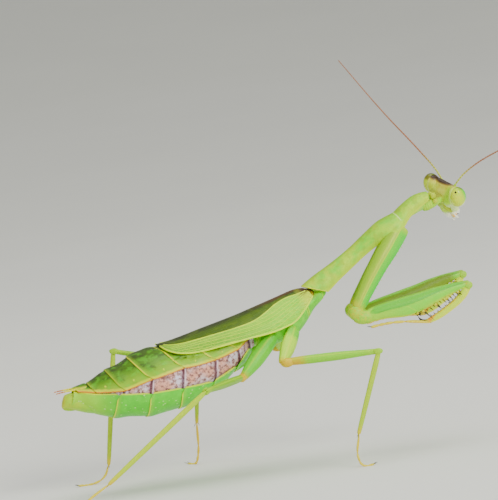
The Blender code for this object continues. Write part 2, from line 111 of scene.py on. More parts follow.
# ---------------------------------------------------------------- wing covers
WING_ROOT_X = 6.5
WING_TIP_X = -14.4
WING_LENGTH = WING_ROOT_X - WING_TIP_X
WING_RIDGE = ((0, 23.95), (0.06, 23.9), (0.19, 23.15), (0.32, 22.4), (0.455, 21.62),
              (0.59, 20.97), (0.715, 20.38), (0.835, 19.78), (0.93, 19.38), (1, 19.2))
WING_EDGE_HEIGHTS = ((0, 22.9), (0.03, 21.6), (0.065, 20.6), (0.105, 19.8), (0.25, 19.0),
                     (0.41, 18.7), (0.54, 18.4), (0.68, 18.07), (0.78, 17.9), (1, 17.8))
WING_WIDTHS = ((0, 2.1), (0.1, 3.1), (0.25, 4.2), (0.5, 5.1), (0.72, 5.3), (1, 5.1))
WING_ROOT_LEAN = 0.95
WING_WALL = 0.16
# Where a wing ends, as a share of its length, for each sweep round from the ridge in degrees.
WING_END = ((0, 0.985), (25, 0.98), (52, 0.957), (74, 0.907), (83, 0.86), (90, 0.79))
# The sweep of the line between the outer and the inner field, for each share of the length.
ANAL_LINE = ((0, 40), (0.06, 35), (0.15, 28), (0.23, 36), (0.31, 47), (0.37, 52), (0.5, 53),
             (0.62, 51), (0.74, 48), (0.86, 43), (0.92, 34), (0.965, 18))
# Fine veins: first and last share of the length, sweep near the root and at the end.
FINE_VEINS = ((0.02, 0.93, 48, 47), (0.02, 0.93, 56, 54), (0.03, 0.92, 64, 61),
              (0.04, 0.89, 73, 70), (0.06, 0.86, 81, 78))

# ---------------------------------------------------------------- head and feelers
HEAD_CENTRE = (27.95, 0.95, 34.3)
HEAD_TURN = 20
HEAD_LIFT = 23
HEAD_TILT = 26
HEAD_TOP = 1.15
HEAD_HEIGHT = 4.2
HEAD_SADDLE = 0.09
HEAD_WIDTHS = ((0, 2.2), (0.14, 2.35), (0.32, 2.35), (0.48, 2.05), (0.65, 1.55), (0.82, 1.2),
               (1, 0.95))
HEAD_DEPTHS = ((0, 0.5), (0.1, 0.7), (0.25, 1.0), (0.45, 1.15), (0.65, 1.0), (0.85, 0.75),
               (1, 0.5))
HEAD_LEANS = ((0, 0.45), (0.12, 0.3), (0.3, 0.0), (0.5, -0.2), (0.65, -0.1), (0.85, 0.12),
              (1, 0.3))
NECK_LINE = ((24.3, 0, 32.7), (26.0, 0.15, 33.15), (27.4, 1.0, 33.4))
EYE_RADII = (1.15, 1.05, 1.5)
# Where each eye's painted pseudopupil, a dark spot of shade seen down its facets, lies from its
# centre.
EYE_PSEUDOPUPILS = {"right": (-0.49, -0.34, 1.27), "left": (0.7, 0.66, 0.6)}
# How high on each eye its painted shade, a brown top, begins; lower on the far eye.
EYE_CAPS = {"right": 0.9, "left": 0.3}
PALP_SHARES = ((0, 0.2), (0.18, 0.38), (0.36, 0.62), (0.6, 0.84), (0.82, 1))
FEELER_JOINTS = 48
FEELER_ROUTES = {"left": ((27.6, 2.9, 37.1), (25.9, 3.9, 39.9), (22.1, 6.5, 45.7),
                          (17.7, 11.5, 53.6)),
                 "right": ((29.7, -0.3, 35.4), (30.7, -0.8, 36.4), (34.8, -3.6, 38.8),
                           (42.0, -12.0, 41.5))}

# ---------------------------------------------------------------- limbs
FORE_COXA = {"right": ((21.0, -1.4, 30.5), (18.9, -1.9, 28.05), (16.9, -2.45, 25.75),
                       (14.55, -3.1, 22.6), (13.0, -3.5, 20.3)),
             "left": ((21.4, 1.4, 30.4), (19.6, 1.9, 27.95), (17.9, 2.45, 25.6),
                      (15.5, 3.1, 22.2), (14.0, 3.5, 20.0))}
FORE_ELBOW = {"right": ((12.4, -3.55, 19.5), (13.6, -3.6, 19.2), (15.0, -3.6, 19.3)),
              "left": ((13.3, 3.55, 19.3), (14.5, 3.6, 19.05), (15.9, 3.6, 19.2))}
FORE_FEMUR = {"right": ((13.2, -3.6, 18.9), (15.8, -3.6, 19.5), (20.4, -3.6, 19.9),
                        (25.6, -3.6, 21.15), (28.8, -3.6, 21.75)),
              "left": ((14.0, 3.6, 18.7), (16.6, 3.6, 19.5), (21.3, 3.6, 20.2),
                       (26.5, 3.6, 21.85), (29.8, 3.6, 22.65))}
FORE_TIBIA = {"right": ((28.6, -3.6, 21.4), (27.5, -3.6, 20.1), (25.2, -3.6, 18.55),
                        (23.1, -3.6, 17.6), (22.3, -3.6, 17.4)),
              "left": ((29.5, 3.6, 22.3), (28.4, 3.6, 20.95), (26.1, 3.6, 19.2),
                       (24.0, 3.6, 18.1), (23.2, 3.6, 17.9))}
FORE_TARSUS = {"right": ((22.9, -3.7, 17.15), (20.6, -3.9, 17.62), (18.2, -3.95, 17.9),
                         (16.2, -3.95, 17.9), (14.2, -3.95, 17.7)),
               "left": ((23.8, 3.7, 17.6), (21.6, 3.9, 17.9), (19.2, 3.95, 18.0),
                        (17.1, 3.95, 17.85), (15.2, 3.95, 17.5))}
# Each walking leg: its hip, then its coxa, femur, tibia and foot as (length, heading, pitch).
WALKING_LEGS = {
    "mid_right": ((3.7, -3.0, 17.9), (4.2, -133, -45.6), (13.1, -19.4, 0.4), (11.3, 180, -68.6),
                  ((3.5, 185, -83), (0.9, -10, -52), (1.5, -5, 0))),
    "mid_left": ((3.5, 2.9, 18.4), (4.2, 90, -37), (13.4, 139.3, 6), (11.6, 118.6, -77.5),
                 ((5.1, 118, -80), (0.7, 125, -35), (1.5, 135, 0))),
    "hind_right": ((0.5, -2.7, 17.5), (6.0, -157, -40), (16.1, -116.6, 1.7), (17.3, 180, -35.5),
                   ((2.9, 181, -29), (2.7, 182, -33), (0.8, 183, -14), (1.4, 183, 0))),
    "hind_left": ((0.5, 2.7, 17.5), (5.9, 156, -37), (17.1, 153.9, 13.9), (15.8, 159, -79.8),
                  ((1.9, 170, -62), (1.6, 175, -12), (2.2, 178, 0))),
}
# Half thickness of the femur and depth of the hip, and the colours of the hip, the femur's root,
# the femur and the tibia.
WALKING_LOOKS = {
    "mid": (0.6, 1.2, (198, 222, 134), (190, 168, 106), (166, 200, 92), (180, 196, 92)),
    "hind": (0.54, 1.1, (148, 194, 102), (150, 178, 84), (146, 176, 80), (188, 202, 122)),
}
FOOT_AXIS_HEIGHT = 0.15
FOOT_SHARES = ((0, 0.44), (0.42, 0.62), (0.6, 0.75), (0.73, 0.84), (0.82, 0.97))

# ---------------------------------------------------------------- camera, in degrees and metres
VIEW_AZIMUTH = -9
VIEW_ELEVATION = 4
VIEW_ROLL = 7.5
VIEW_DISTANCE = 0.45
VIEW_HEIGHT = 30.09
VIEW_LENS = 240.4
FLOOR_SIZE = 8.0
WORLD_COLOUR = (0.86, 0.88, 0.86)
WORLD_STRENGTH = 0.38
VIVID = 2.1
VIVID_FROM = 0.5
# Lamps: name, metres to the right of, above and before the model as seen, size, power, colour.
LAMPS = (("key_lamp", 0.45, 0.4, 0.75, 0.35, 8.6, (1.0, 0.99, 0.94)),
         ("fill_lamp", -0.7, 0.2, 0.6, 0.8, 1.8, (0.95, 0.98, 1.0)),
         ("top_lamp", 0.0, 0.9, 0.1, 0.7, 6.0, (1.0, 1.0, 1.0)))


# ================================================================ numbers and lines
def read(table, share):
    """The value at a share of the length, eased between a table's (share, value) pairs."""
    if share <= table[0][0]:
        return table[0][1]
    for (low, low_value), (high, high_value) in zip(table, table[1:]):
        if share <= high:
            ease = (share - low) / (high - low)
            return low_value + (high_value - low_value) * ease * ease * (3 - 2 * ease)
    return table[-1][1]


def follow(table, place):
    """The value at a place on the smooth curve through a table's (place, value) pairs."""
    place = min(max(place, table[0][0]), table[-1][0])
    index = 0
    while place > table[index + 1][0]:
        index += 1
    (low, first), (high, last) = table[index], table[index + 1]
    run = high - low
    before, after = table[max(index - 1, 0)], table[min(index + 2, len(table) - 1)]
    leave = (last - before[1]) / (high - before[0]) * run
    reach = (after[1] - first) / (after[0] - low) * run
    ease = (place - low) / run
    back = 1 - ease
    return (first * (1 + 2 * ease) * back * back + leave * ease * back * back
            + last * (3 - 2 * ease) * ease * ease - reach * back * ease * ease)


def heading_vector(heading, pitch):
    """A unit vector from a heading about +Z and a pitch above the floor."""
    flat = math.cos(math.radians(pitch))
    return Vector((flat * math.cos(math.radians(heading)), flat * math.sin(math.radians(heading)),
                   math.sin(math.radians(pitch))))


def chain(start, steps):
    """The points from a start through steps of (length, heading, pitch)."""
    points = [Vector(start)]
    for length, heading, pitch in steps:
        points.append(points[-1] + heading_vector(heading, pitch) * length)
    return points


def find_home():
    """Where the design's zero is in the row frame, in millimetres."""
    right_low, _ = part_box("forewing_right")
    _, left_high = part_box("forewing_left")
    return Vector((right_low.x / MM - WING_TIP_X, (right_low.y + left_high.y) / 2 / MM, 0))


HOME = find_home()


# ================================================================ modelling by hand
def rest():
    """Leave edit mode and let go of everything."""
    if bpy.context.object and bpy.context.object.mode != "OBJECT":
        bpy.ops.object.mode_set(mode="OBJECT")
    bpy.ops.object.select_all(action="DESELECT")


def take(piece):
    """Hold one piece and nothing else."""
    rest()
    piece.select_set(True)
    bpy.context.view_layer.objects.active = piece


def named(name):
    """The piece just made, under its name."""
    piece = bpy.context.object
    piece.name = name
    piece.data.name = name
    return piece


def edit(piece, test=None):
    """Open a piece for editing, with all of it selected or the points that pass a test."""
    if bpy.context.object != piece or piece.mode != "EDIT":
        take(piece)
        bpy.ops.object.mode_set(mode="EDIT")
    bpy.ops.mesh.select_all(action="SELECT")
    if test:
        shape = bmesh.from_edit_mesh(piece.data)
        for vertex in shape.verts:
            vertex.select_set(bool(test(vertex.co)))
        shape.select_flush(True)
        shape.select_flush(False)
        bmesh.update_edit_mesh(piece.data)


def face_outwards(piece):
    """Turn the faces of a piece outwards."""
    edit(piece)
    bpy.ops.mesh.normals_make_consistent(inside=False)
    rest()


def apply_modifier(piece, name, kind, **settings):
    """Add a modifier, set it and apply it."""
    take(piece)
    modifier = piece.modifiers.new(name, kind)
    for key, value in settings.items():
        setattr(modifier, key, value)
    bpy.ops.object.modifier_apply(modifier=modifier.name)


def smooth(piece, levels):
    """Subdivide a piece into its smooth form."""
    apply_modifier(piece, "smooth", "SUBSURF", levels=levels, render_levels=levels)


def bake(piece, place):
    """Move a piece to a place and leave the move in its mesh."""
    take(piece)
    piece.matrix_world = place
    bpy.ops.object.transform_apply()
    return piece


def draw_out(name, sides, rings, cap="NGON"):
    """Pull a ring of edges out along +X, sizing it at each (x, half width, half depth, rise)."""
    rest()
    x, wide, deep, rise = rings[0]
    bpy.ops.mesh.primitive_circle_add(vertices=sides, radius=1, fill_type=cap,
                                      location=(x, 0, rise), rotation=(0, math.pi / 2, 0))
    piece = named(name)
    bpy.ops.object.transform_apply()
    edit(piece)
    bpy.ops.transform.resize(value=(1, wide, deep), center_override=(x, 0, rise))
    for before, after in zip(rings, rings[1:]):
        step = (after[0] - before[0], 0, after[3] - before[3])
        bpy.ops.mesh.extrude_region_move(TRANSFORM_OT_translate={"value": step})
        bpy.ops.transform.resize(value=(1, after[1] / before[1], after[2] / before[2]),
                                 center_override=(after[0], 0, after[3]))
    face_outwards(piece)
    return piece


def steps(start, stop, count):
    """Evenly spaced places from a start to a stop."""
    return [start + (stop - start) * step / count for step in range(count + 1)]


def rings_along(length, widths, depths, count, blunt=0.35, start=0.0, rises=((0, 0),),
                tip=0.12):
    """Rings from a start to a length: their sizes are read from tables and rounded at the ends."""
    rings = []
    for step in range(count + 1):
        share = 0.5 - 0.5 * math.cos(math.pi * step / count)
        swell = max(math.sin(math.pi * step / count) ** blunt, tip)
        rings.append((start + (length - start) * share, read(widths, share) * swell,
                      read(depths, share) * swell, read(rises, share)))
    return rings


def mark(piece, rings):
    """Store on each point how far along it is, its share of the length, its side and its rise."""
    stored = piece.data.attributes
    stored.new("form", "FLOAT_VECTOR", "POINT")
    stored.new("share", "FLOAT", "POINT")
    first, last = rings[0][0], rings[-1][0]
    for vertex, spot, part in zip(piece.data.vertices, stored["form"].data,
                                  stored["share"].data):
        x, y, z = vertex.co
        index = 0
        while index < len(rings) - 2 and (x - rings[index + 1][0]) * (last - first) > 0:
            index += 1
        low, high = rings[index], rings[index + 1]
        ease = min(max((x - low[0]) / (high[0] - low[0]), 0), 1)
        wide, deep, rise = (low[k] + (high[k] - low[k]) * ease for k in (1, 2, 3))
        spot.vector = (abs(x - first), y / wide, (z - rise) / deep)
        part.value = (x - first) / (last - first)


def store(piece, **rules):
    """Store numbers on a piece's points, each one fixed or worked out from the point's place."""
    for name, rule in rules.items():
        values = piece.data.attributes.new(name, "FLOAT", "POINT").data
        for vertex, value in zip(piece.data.vertices, values):
            value.value = rule(vertex.co) if callable(rule) else rule


def slice_off(piece, *planes):
    """Cut away what lies beyond planes of (point, normal), on the side of each normal."""
    for point, normal in planes:
        edit(piece)
        bpy.ops.mesh.bisect(plane_co=point, plane_no=normal, clear_outer=True,
                            clear_inner=False, threshold=1e-5)
        rest()


def press(piece, test, depth):
    """Press the points that pass a test into a piece, to make a groove."""
    edit(piece, test)
    bpy.ops.transform.shrink_fatten(value=-depth)
    rest()


def thicken(piece, wall):
    """Merge an open shell's slivers, give it its wall, inwards, and soften its rim."""
    edit(piece)
    bpy.ops.mesh.remove_doubles(threshold=0.02)
    apply_modifier(piece, "wall", "SOLIDIFY", thickness=wall, offset=-1)
    apply_modifier(piece, "rim", "BEVEL", width=wall * 0.4, segments=2, limit_method="ANGLE",
                   angle_limit=math.radians(50))


def lay_path(points):
    """A smooth line through a few points."""
    rest()
    bpy.ops.curve.primitive_bezier_curve_add()
    line = bpy.context.object
    spline = line.data.splines[0]
    if len(points) > 2:
        spline.bezier_points.add(len(points) - 2)
    for knot, point in zip(spline.bezier_points, points):
        knot.handle_left_type = knot.handle_right_type = "AUTO"
        knot.co = point
    line.data.resolution_u = 32
    line.data.twist_mode = "Z_UP"
    bpy.context.view_layer.update()
    return line


def path_length(points):
    """How long the smooth line through a few points is."""
    line = lay_path(points)
    length = line.data.splines[0].calc_length()
    bpy.data.objects.remove(line, do_unlink=True)
    return length


def bend_along(piece, points):
    """Bend a straight piece, drawn along +X, onto the smooth line through the points."""
    line = lay_path(points)
    apply_modifier(piece, "bend", "CURVE", object=line, deform_axis="POS_X")
    bpy.data.objects.remove(line, do_unlink=True)
    return piece


def thread(name, points, radius, sides=2):
    """A round thread through a few points, as a mesh."""
    line = lay_path(points)
    line.data.twist_mode = "MINIMUM"
    line.data.resolution_u = 8
    line.data.bevel_depth = radius
    line.data.bevel_resolution = sides
    line.data.use_fill_caps = True
    take(line)
    bpy.ops.object.convert(target="MESH")
    return named(name)


def join(pieces, name):
    """Join pieces into the first one and name it."""
    rest()
    for piece in pieces:
        piece.select_set(True)
    bpy.context.view_layer.objects.active = pieces[0]
    if len(pieces) > 1:
        bpy.ops.object.join()
    return named(name)


def ball(name, centre, radii, segments=24, rings=16):
    """A rounded bead, its poles up and down."""
    rest()
    bpy.ops.mesh.primitive_uv_sphere_add(segments=segments, ring_count=rings, radius=1,
                                         location=centre, scale=radii)
    bpy.ops.object.transform_apply()
    return named(name)


def drawn(name, sides, rings, levels=2, line=None, carve=None, **rules):
    """A piece drawn out, smoothed, marked, carved point by point and bent onto its line."""
    piece = draw_out(name, sides, rings)
    if levels:
        smooth(piece, levels)
    mark(piece, rings)
    store(piece, **rules)
    if carve:
        for vertex in piece.data.vertices:
            carve(vertex.co, rings[-1][0])
    return bend_along(piece, line) if line else piece


def plate(name, sides, rings, planes, wall, line, **rules):
    """A plate cut from a form by planes, walled inwards and bent onto its line."""
    piece = draw_out(name, sides, rings, cap="NOTHING")
    smooth(piece, 2)
    slice_off(piece, *planes)
    mark(piece, rings)
    store(piece, **rules)
    thicken(piece, wall)
    return bend_along(piece, line)


def limb(name, points, widths, depths=None, sides=12, count=8, levels=2, blunt=0.35, tip=0.12,
         carve=None, **rules):
    """A limb piece drawn out as long as its line, and bent onto it."""
    rings = rings_along(path_length(points), widths, depths or widths, count, blunt, tip=tip)
    return drawn(name, sides, rings, levels, points, carve, **rules)


def jointed(name, points, shares, radii, depth=1.0, sides=8, swell=0.8):
    """Rounded joints in a row along a line, each a share of it, drawn straight and then bent."""
    length = path_length(points)
    joints = []
    for (start, stop), size in zip(shares, radii):
        widths = ((0, size * swell), (0.3, size * 0.92), (0.8, size), (1, size * 0.95))
        depths = tuple((share, value * depth) for share, value in widths)
        rings = rings_along(length * stop, widths, depths, 8, 0.5, start=length * start)
        joints.append(drawn(name, sides, rings, 1))
    return bend_along(join(joints, name), points)


def dress(piece, finish, node, turn=None):
    """Give a piece its finish, bring it home in metres and hang it on the body."""
    piece.data.materials.clear()
    piece.data.materials.append(finish)
    place = Matrix.Translation(HOME * MM) @ Matrix.Scale(MM, 4)
    bake(piece, place @ turn if turn else place)
    bpy.ops.object.shade_smooth()
    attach(piece, BODY)
    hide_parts(node)


# ================================================================ finishes
def tint(red, green, blue):
    """A linear colour from the usual 0 to 255 values, made vivid enough for the soft light."""
    linear = [((value / 255 + 0.055) / 1.055) ** 2.4 for value in (red, green, blue)]
    grey = sum(part * weight for part, weight in zip(linear, (0.21, 0.72, 0.07)))
    vivid = 1 + (VIVID - 1) * min(grey / VIVID_FROM, 1)
    return tuple(min(max(grey + (part - grey) * vivid, 0.004), 1) for part in linear)


class Wire:
    """A node's output that can be used in sums."""

    def __init__(self, finish, socket):
        self.finish = finish
        self.socket = socket

    def sum(self, operation, *values):
        return self.finish.node("ShaderNodeMath", {"operation": operation},
                                dict(enumerate(values)))

    def __add__(self, other):
        return self.sum("ADD", self, other)

    def __sub__(self, other):
        return self.sum("SUBTRACT", self, other)

    def __rsub__(self, other):
        return self.sum("SUBTRACT", other, self)

    def __mul__(self, other):
        return self.sum("MULTIPLY", self, other)

    def __abs__(self):
        return self.sum("ABSOLUTE", self)

    __radd__ = __add__
    __rmul__ = __mul__


class Finish:
    """A procedural finish: a base colour, the colours laid over it, and a Principled shader."""

    def __init__(self, name, coat=0.0, coat_rough=0.03, base=None):
        self.material = bpy.data.materials.new(name)
        self.material.use_nodes = True
        self.tree = self.material.node_tree
        self.shader = self.tree.nodes["Principled BSDF"]
        self.colour = base
        for key, value in (("Specular IOR Level", 0.2), ("Coat Weight", coat),
                           ("Coat Roughness", coat_rough)):
            self.shader.inputs[key].default_value = value
        spot = self.node("ShaderNodeTexCoord", output=3)
        self.spot = self.node("ShaderNodeVectorMath", {"operation": "SCALE"},
                              {0: spot, 3: 1 / MM})
        form = self.node("ShaderNodeSeparateXYZ", inputs={0: self.stored("form", 1)})
        self.along, self.side, self.rise = (
            Wire(self, socket) for socket in form.socket.node.outputs)
        self.share = self.stored("share")

    def node(self, kind, settings=None, inputs=None, output=0):
        """Add a node, set it, feed it, and give one of its outputs."""
        node = self.tree.nodes.new(kind)
        for key, value in (settings or {}).items():
            setattr(node, key, value)
        for key, value in (inputs or {}).items():
            self.feed(node.inputs[key], value)
        return Wire(self, node.outputs[output])

    def feed(self, socket, value):
        """Link a wire to a socket, or set the socket to a value."""
        if isinstance(value, Wire):
            self.tree.links.new(value.socket, socket)
        else:
            socket.default_value = (*value, 1) if socket.type == "RGBA" else value

    def stored(self, name, output=2):
        """A number stored on the piece's points, or a vector for output 1."""
        return self.node("ShaderNodeAttribute", {"attribute_name": name}, output=output)

    def vector(self, *values):
        return self.node("ShaderNodeCombineXYZ", inputs=dict(enumerate(values)))

    def noise(self, size, detail=2.0, place=None, lumpy=0.5):
        """Soft noise between 0 and 1, with lumps of a size in millimetres."""
        return self.node("ShaderNodeTexNoise", inputs={
            "Vector": place or self.spot, "Scale": 1 / size, "Detail": detail,
            "Roughness": lumpy})

    def cells(self, size, place=None, feature="F1"):
        """The distance to the nearest of many scattered points."""
        return self.node("ShaderNodeTexVoronoi", {"feature": feature}, {
            "Vector": place or self.spot, "Scale": 1 / size})

    def waves(self, axis, place, scale, wobble=0.0, detail=2.0, detail_scale=1.0):
        """Soft stripes across an axis."""
        return self.node("ShaderNodeTexWave", {"wave_type": "BANDS", "bands_direction": axis}, {
            "Vector": self.vector(*place), "Scale": scale, "Distortion": wobble,
            "Detail": detail, "Detail Scale": detail_scale})

    def over(self, value, edge, soft):
        """1 where a value is over an edge, 0 where it is under, eased between."""
        return self.node("ShaderNodeMapRange", {"interpolation_type": "SMOOTHSTEP"}, {
            "Value": value, "From Min": edge - soft, "From Max": edge + soft})

    def under(self, value, edge, soft):
        return self.over(0 - value, -edge, soft)

    def band(self, value, middle, half, soft):
        """1 in a band about a middle, eased at its borders."""
        return self.under(abs(value - middle), half, soft)

    def blend(self, mask, low, high):
        """One colour where a mask is 0 and another where it is 1."""
        return self.node("ShaderNodeMix", {"data_type": "RGBA"}, {0: mask, 6: low, 7: high},
                         output=2)

    def cover(self, mask, colour):
        """Lay a colour over what is there, as far as a mask says."""
        self.colour = self.blend(mask, self.colour, colour)

    def lay(self, mask, *rgb):
        """Cover with a tint of 0 to 255 values."""
        self.cover(mask, tint(*rgb))

    def end(self, rough, height=None):
        """Feed the shader. A height is in millimetres."""
        self.feed(self.shader.inputs["Base Color"], self.colour)
        self.feed(self.shader.inputs["Roughness"], rough)
        if height is not None:
            normal = self.node("ShaderNodeBump", inputs={"Height": height, "Distance": MM})
            self.feed(self.shader.inputs["Normal"], normal)
        return self.material


FINISHES = {}


def finish_once(maker):
    """Make a finish the first time it is asked for, and give the same one after that."""
    def given(*words):
        key = (maker.__name__, *words)
        if key not in FINISHES:
            FINISHES[key] = maker(*words)
        return FINISHES[key]
    return given


def chosen(part):
    """A main colour, as set in the sidebar."""
    return tuple(getattr(bpy.context.scene.mantis_colours, part))


def sizes():
    """The sizes set in the sidebar."""
    return bpy.context.scene.mantis_sizes


def shade(colour, amount):
    """A colour made lighter or darker."""
    return tuple(min(part * amount, 1) for part in colour)


@finish_once
def shell_finish():
    """The pale pronotum, mottled, with a cream lower rim and a pale groove."""
    f = Finish("pale_pronotum_shell", 0.12, 0.35, base=chosen("shell"))
    wide = f.noise(2.4, 5, lumpy=0.6)
    fine = f.noise(0.5, 3)
    f.lay(f.over(wide, 0.5, 0.14), 166, 208, 132)
    f.lay(f.over(fine, 0.58, 0.1) * 0.4, 206, 226, 160)
    f.lay(f.over(f.noise(0.9, 4), 0.55, 0.08) * 0.55, 160, 180, 80)
    f.lay(f.over(f.noise(1.5, 4), 0.58, 0.1) * 0.5, 204, 214, 110)
    keel = f.under(abs(f.side), 0.06, 0.05) * f.over(f.rise, 0.4, 0.2)
    f.lay(keel * 0.4, 196, 212, 130)
    # Painted shade: the top of the shield is darkened.
    top_shade = f.over(f.rise, 0.9, 0.12) * 0.35
    f.lay(top_shade, 138, 160, 86)
    groove = f.band(f.stored("groove"), 0.0, 0.07, 0.06) * f.over(f.rise, 0.1, 0.15)
    f.lay(groove * 0.9, 226, 240, 196)
    edge = f.stored("edge")
    rim = f.under(edge, 0.24, 0.12)
    f.lay(f.under(edge, 0.75, 0.3) * 0.5, 206, 220, 84)
    f.lay(rim * 0.8, 218, 228, 132)
    rear = f.under(f.stored("rear"), 0.16, 0.08)
    f.lay(rear * 0.8, 226, 232, 168)
    grains = f.cells(0.16)
    height = fine * 0.05 + grains * 0.035 + rim * 0.03
    return f.end(0.42 + fine * 0.18, height)


@finish_once
def skin_finish():
    """Soft folded skin at the joints, browned on its upper side as painted shade."""
    f = Finish("pale_joint_skin", base=tint(176, 206, 106))
    fold = f.waves("X", (f.along, f.side * 0.15, f.rise * 0.15), 0.9, 3.0, detail_scale=1.4)
    lumps = f.noise(0.5, 3)
    f.lay(fold, 196, 218, 132)
    f.lay(f.over(lumps, 0.58, 0.1) * 0.4, 202, 206, 96)
    # Painted shade: the upper side of the skin, under the shield's front rim, is browned.
    f.lay(f.over(f.rise, 0.35, 0.3) * 0.75, 126, 108, 62)
    return f.end(0.55, fold * 0.03 + lumps * 0.06)


@finish_once
def throat_finish():
    """The softer green underside of the prothorax."""
    f = Finish("pale_throat", 0.08, 0.4, base=tint(176, 208, 126))
    lumps = f.noise(0.9, 3)
    fine = f.noise(0.25, 2)
    f.lay(f.over(lumps, 0.5, 0.15), 206, 224, 172)
    f.lay(f.over(f.rise, -0.35, 0.2) * 0.6, 168, 204, 104)
    f.lay(f.over(fine, 0.62, 0.06) * 0.4, 222, 226, 150)
    return f.end(0.5, lumps * 0.12 + fine * 0.04)


@finish_once
def flank_finish():
    """The blue-green sides of the wing-bearing thorax, with pale lines along the plates."""
    f = Finish("blue_green_flank", 0.12, 0.35, base=tint(142, 190, 122))
    lumps = f.noise(1.1, 3)
    fine = f.noise(0.22, 2)
    f.lay(f.over(lumps, 0.5, 0.15), 168, 214, 148)
    f.lay(f.over(fine, 0.6, 0.08) * 0.3, 196, 224, 160)
    f.lay(f.over(f.rise, 0.25, 0.3) * 0.55, 178, 204, 84)
    edge = f.stored("edge")
    f.lay(f.under(edge + (lumps - 0.5) * 0.2, 0.14, 0.1) * 0.6, 216, 232, 150)
    return f.end(0.42 + fine * 0.15, lumps * 0.08 + fine * 0.03)


@finish_once
def back_plate_finish():
    """Back plates: painted shade and dark streaks above, leaf green below, cream rear rims, orange
    line.
    """
    f = Finish("leaf_green_back_plate", 0.15, 0.32, base=tint(160, 184, 80))
    streaks = f.noise(1.0, 4, f.vector(f.along * 0.35, f.side * 3.2, f.rise * 3.2), 0.6)
    lumps = f.noise(0.8, 3)
    height_above = f.stored("edge")
    place = f.stored("place")
    # Painted shade: the upper side is darkened, most of all at the very top, broken by the real
    # dark streaks.
    f.cover(f.over(f.rise + streaks * 0.5, 0.72, 0.3), chosen("back"))
    f.lay(f.over(f.rise + streaks * 0.6, 1.12, 0.18), 62, 78, 34)
    f.lay(f.over(streaks, 0.56, 0.06) * f.over(f.rise, 0.35, 0.25) * 0.7, 58, 72, 34)
    f.lay(f.over(lumps, 0.58, 0.08) * 0.4, 150, 196, 86)
    rear = f.stored("rear")
    rim = f.under(rear + (lumps - 0.5) * 0.1, 0.2, 0.07)
    f.lay(f.under(rear, 0.55, 0.3) * 0.35, 176, 200, 80)
    f.lay(rim * (0.9 - f.over(place, 17.5, 1.2) * 0.6), 224, 224, 136)
    low_rim = f.under(height_above + (lumps - 0.5) * 0.3, 0.42, 0.14)
    f.lay(low_rim * 0.85, 216, 218, 112)
    orange = f.under(height_above + (lumps - 0.5) * 0.2, 0.14, 0.06)
    f.lay(orange * (0.5 + lumps * 0.6), 200, 122, 60)
    pore = f.under(f.stored("pore"), 0.15, 0.06)
    f.lay(pore * 0.8, 222, 230, 160)
    pit = f.under(f.stored("pore"), 0.05, 0.03)
    f.lay(pit, 90, 100, 40)
    height = streaks * 0.08 + f.noise(0.15, 2) * 0.03 + pore * 0.05
    return f.end(0.36 + lumps * 0.2, height)


@finish_once
def belly_plate_finish():
    """Belly plates: fresh green with white specks and cream rims."""
    f = Finish("fresh_green_belly_plate", 0.15, 0.32, base=chosen("belly"))
    lumps = f.noise(1.3, 3)
    f.lay(f.over(lumps, 0.5, 0.16), 156, 208, 112)
    f.lay(f.under(f.rise, -0.75, 0.3) * 0.4, 112, 168, 64)
    f.lay(f.over(f.stored("place"), 22.0, 2.4) * 0.75, 186, 208, 84)
    specks = f.under(f.cells(0.55), 0.2, 0.1) * f.over(f.noise(0.8, 1), 0.5, 0.08)
    f.lay(specks * 0.75, 222, 236, 196)
    rear = f.stored("rear")
    edge = f.stored("edge")
    rim = f.under(rear + (lumps - 0.5) * 0.08, 0.15, 0.06)
    f.lay(f.under(rear, 0.5, 0.3) * 0.3, 190, 214, 110)
    f.lay(rim * 0.85, 230, 232, 150)
    top = f.under(edge + (lumps - 0.5) * 0.12, 0.17, 0.07)
    f.lay(top * 0.85, 222, 226, 132)
    height = lumps * 0.08 + f.noise(0.2, 2) * 0.03 + specks * 0.03
    return f.end(0.38 + lumps * 0.15, height)


@finish_once
def flank_skin_finish():
    """The stretched pinkish skin of the flank, mottled brown, with painted shade in its folds and
    a painted highlight beside them.
    """
    f = Finish("mottled_flank_skin", base=chosen("flank"))
    lumps = f.noise(1.6, 3)
    mottle = f.noise(0.42, 5, lumpy=0.62)
    f.lay(f.over(lumps, 0.5, 0.14), 222, 216, 224)
    f.lay(f.over(mottle, 0.5, 0.06) * 0.75, 162, 124, 118)
    f.lay(f.over(mottle, 0.58, 0.04) * 0.8, 104, 72, 72)
    fold = f.stored("rear") + (f.noise(0.9, 3) - 0.5) * 0.35
    # Painted shade darkens each fold, and a painted highlight runs beside it.
    f.lay(f.band(fold, 0.0, 0.34, 0.24) * 0.6, 122, 76, 96)
    f.lay(f.band(fold, 0.04, 0.07, 0.07) * 0.9, 74, 32, 52)
    f.lay(f.band(fold, -0.3, 0.09, 0.08) * 0.8, 240, 226, 232)
    height = mottle * 0.12 - f.band(fold, 0.04, 0.15, 0.15) * 0.22
    return f.end(0.5, height)


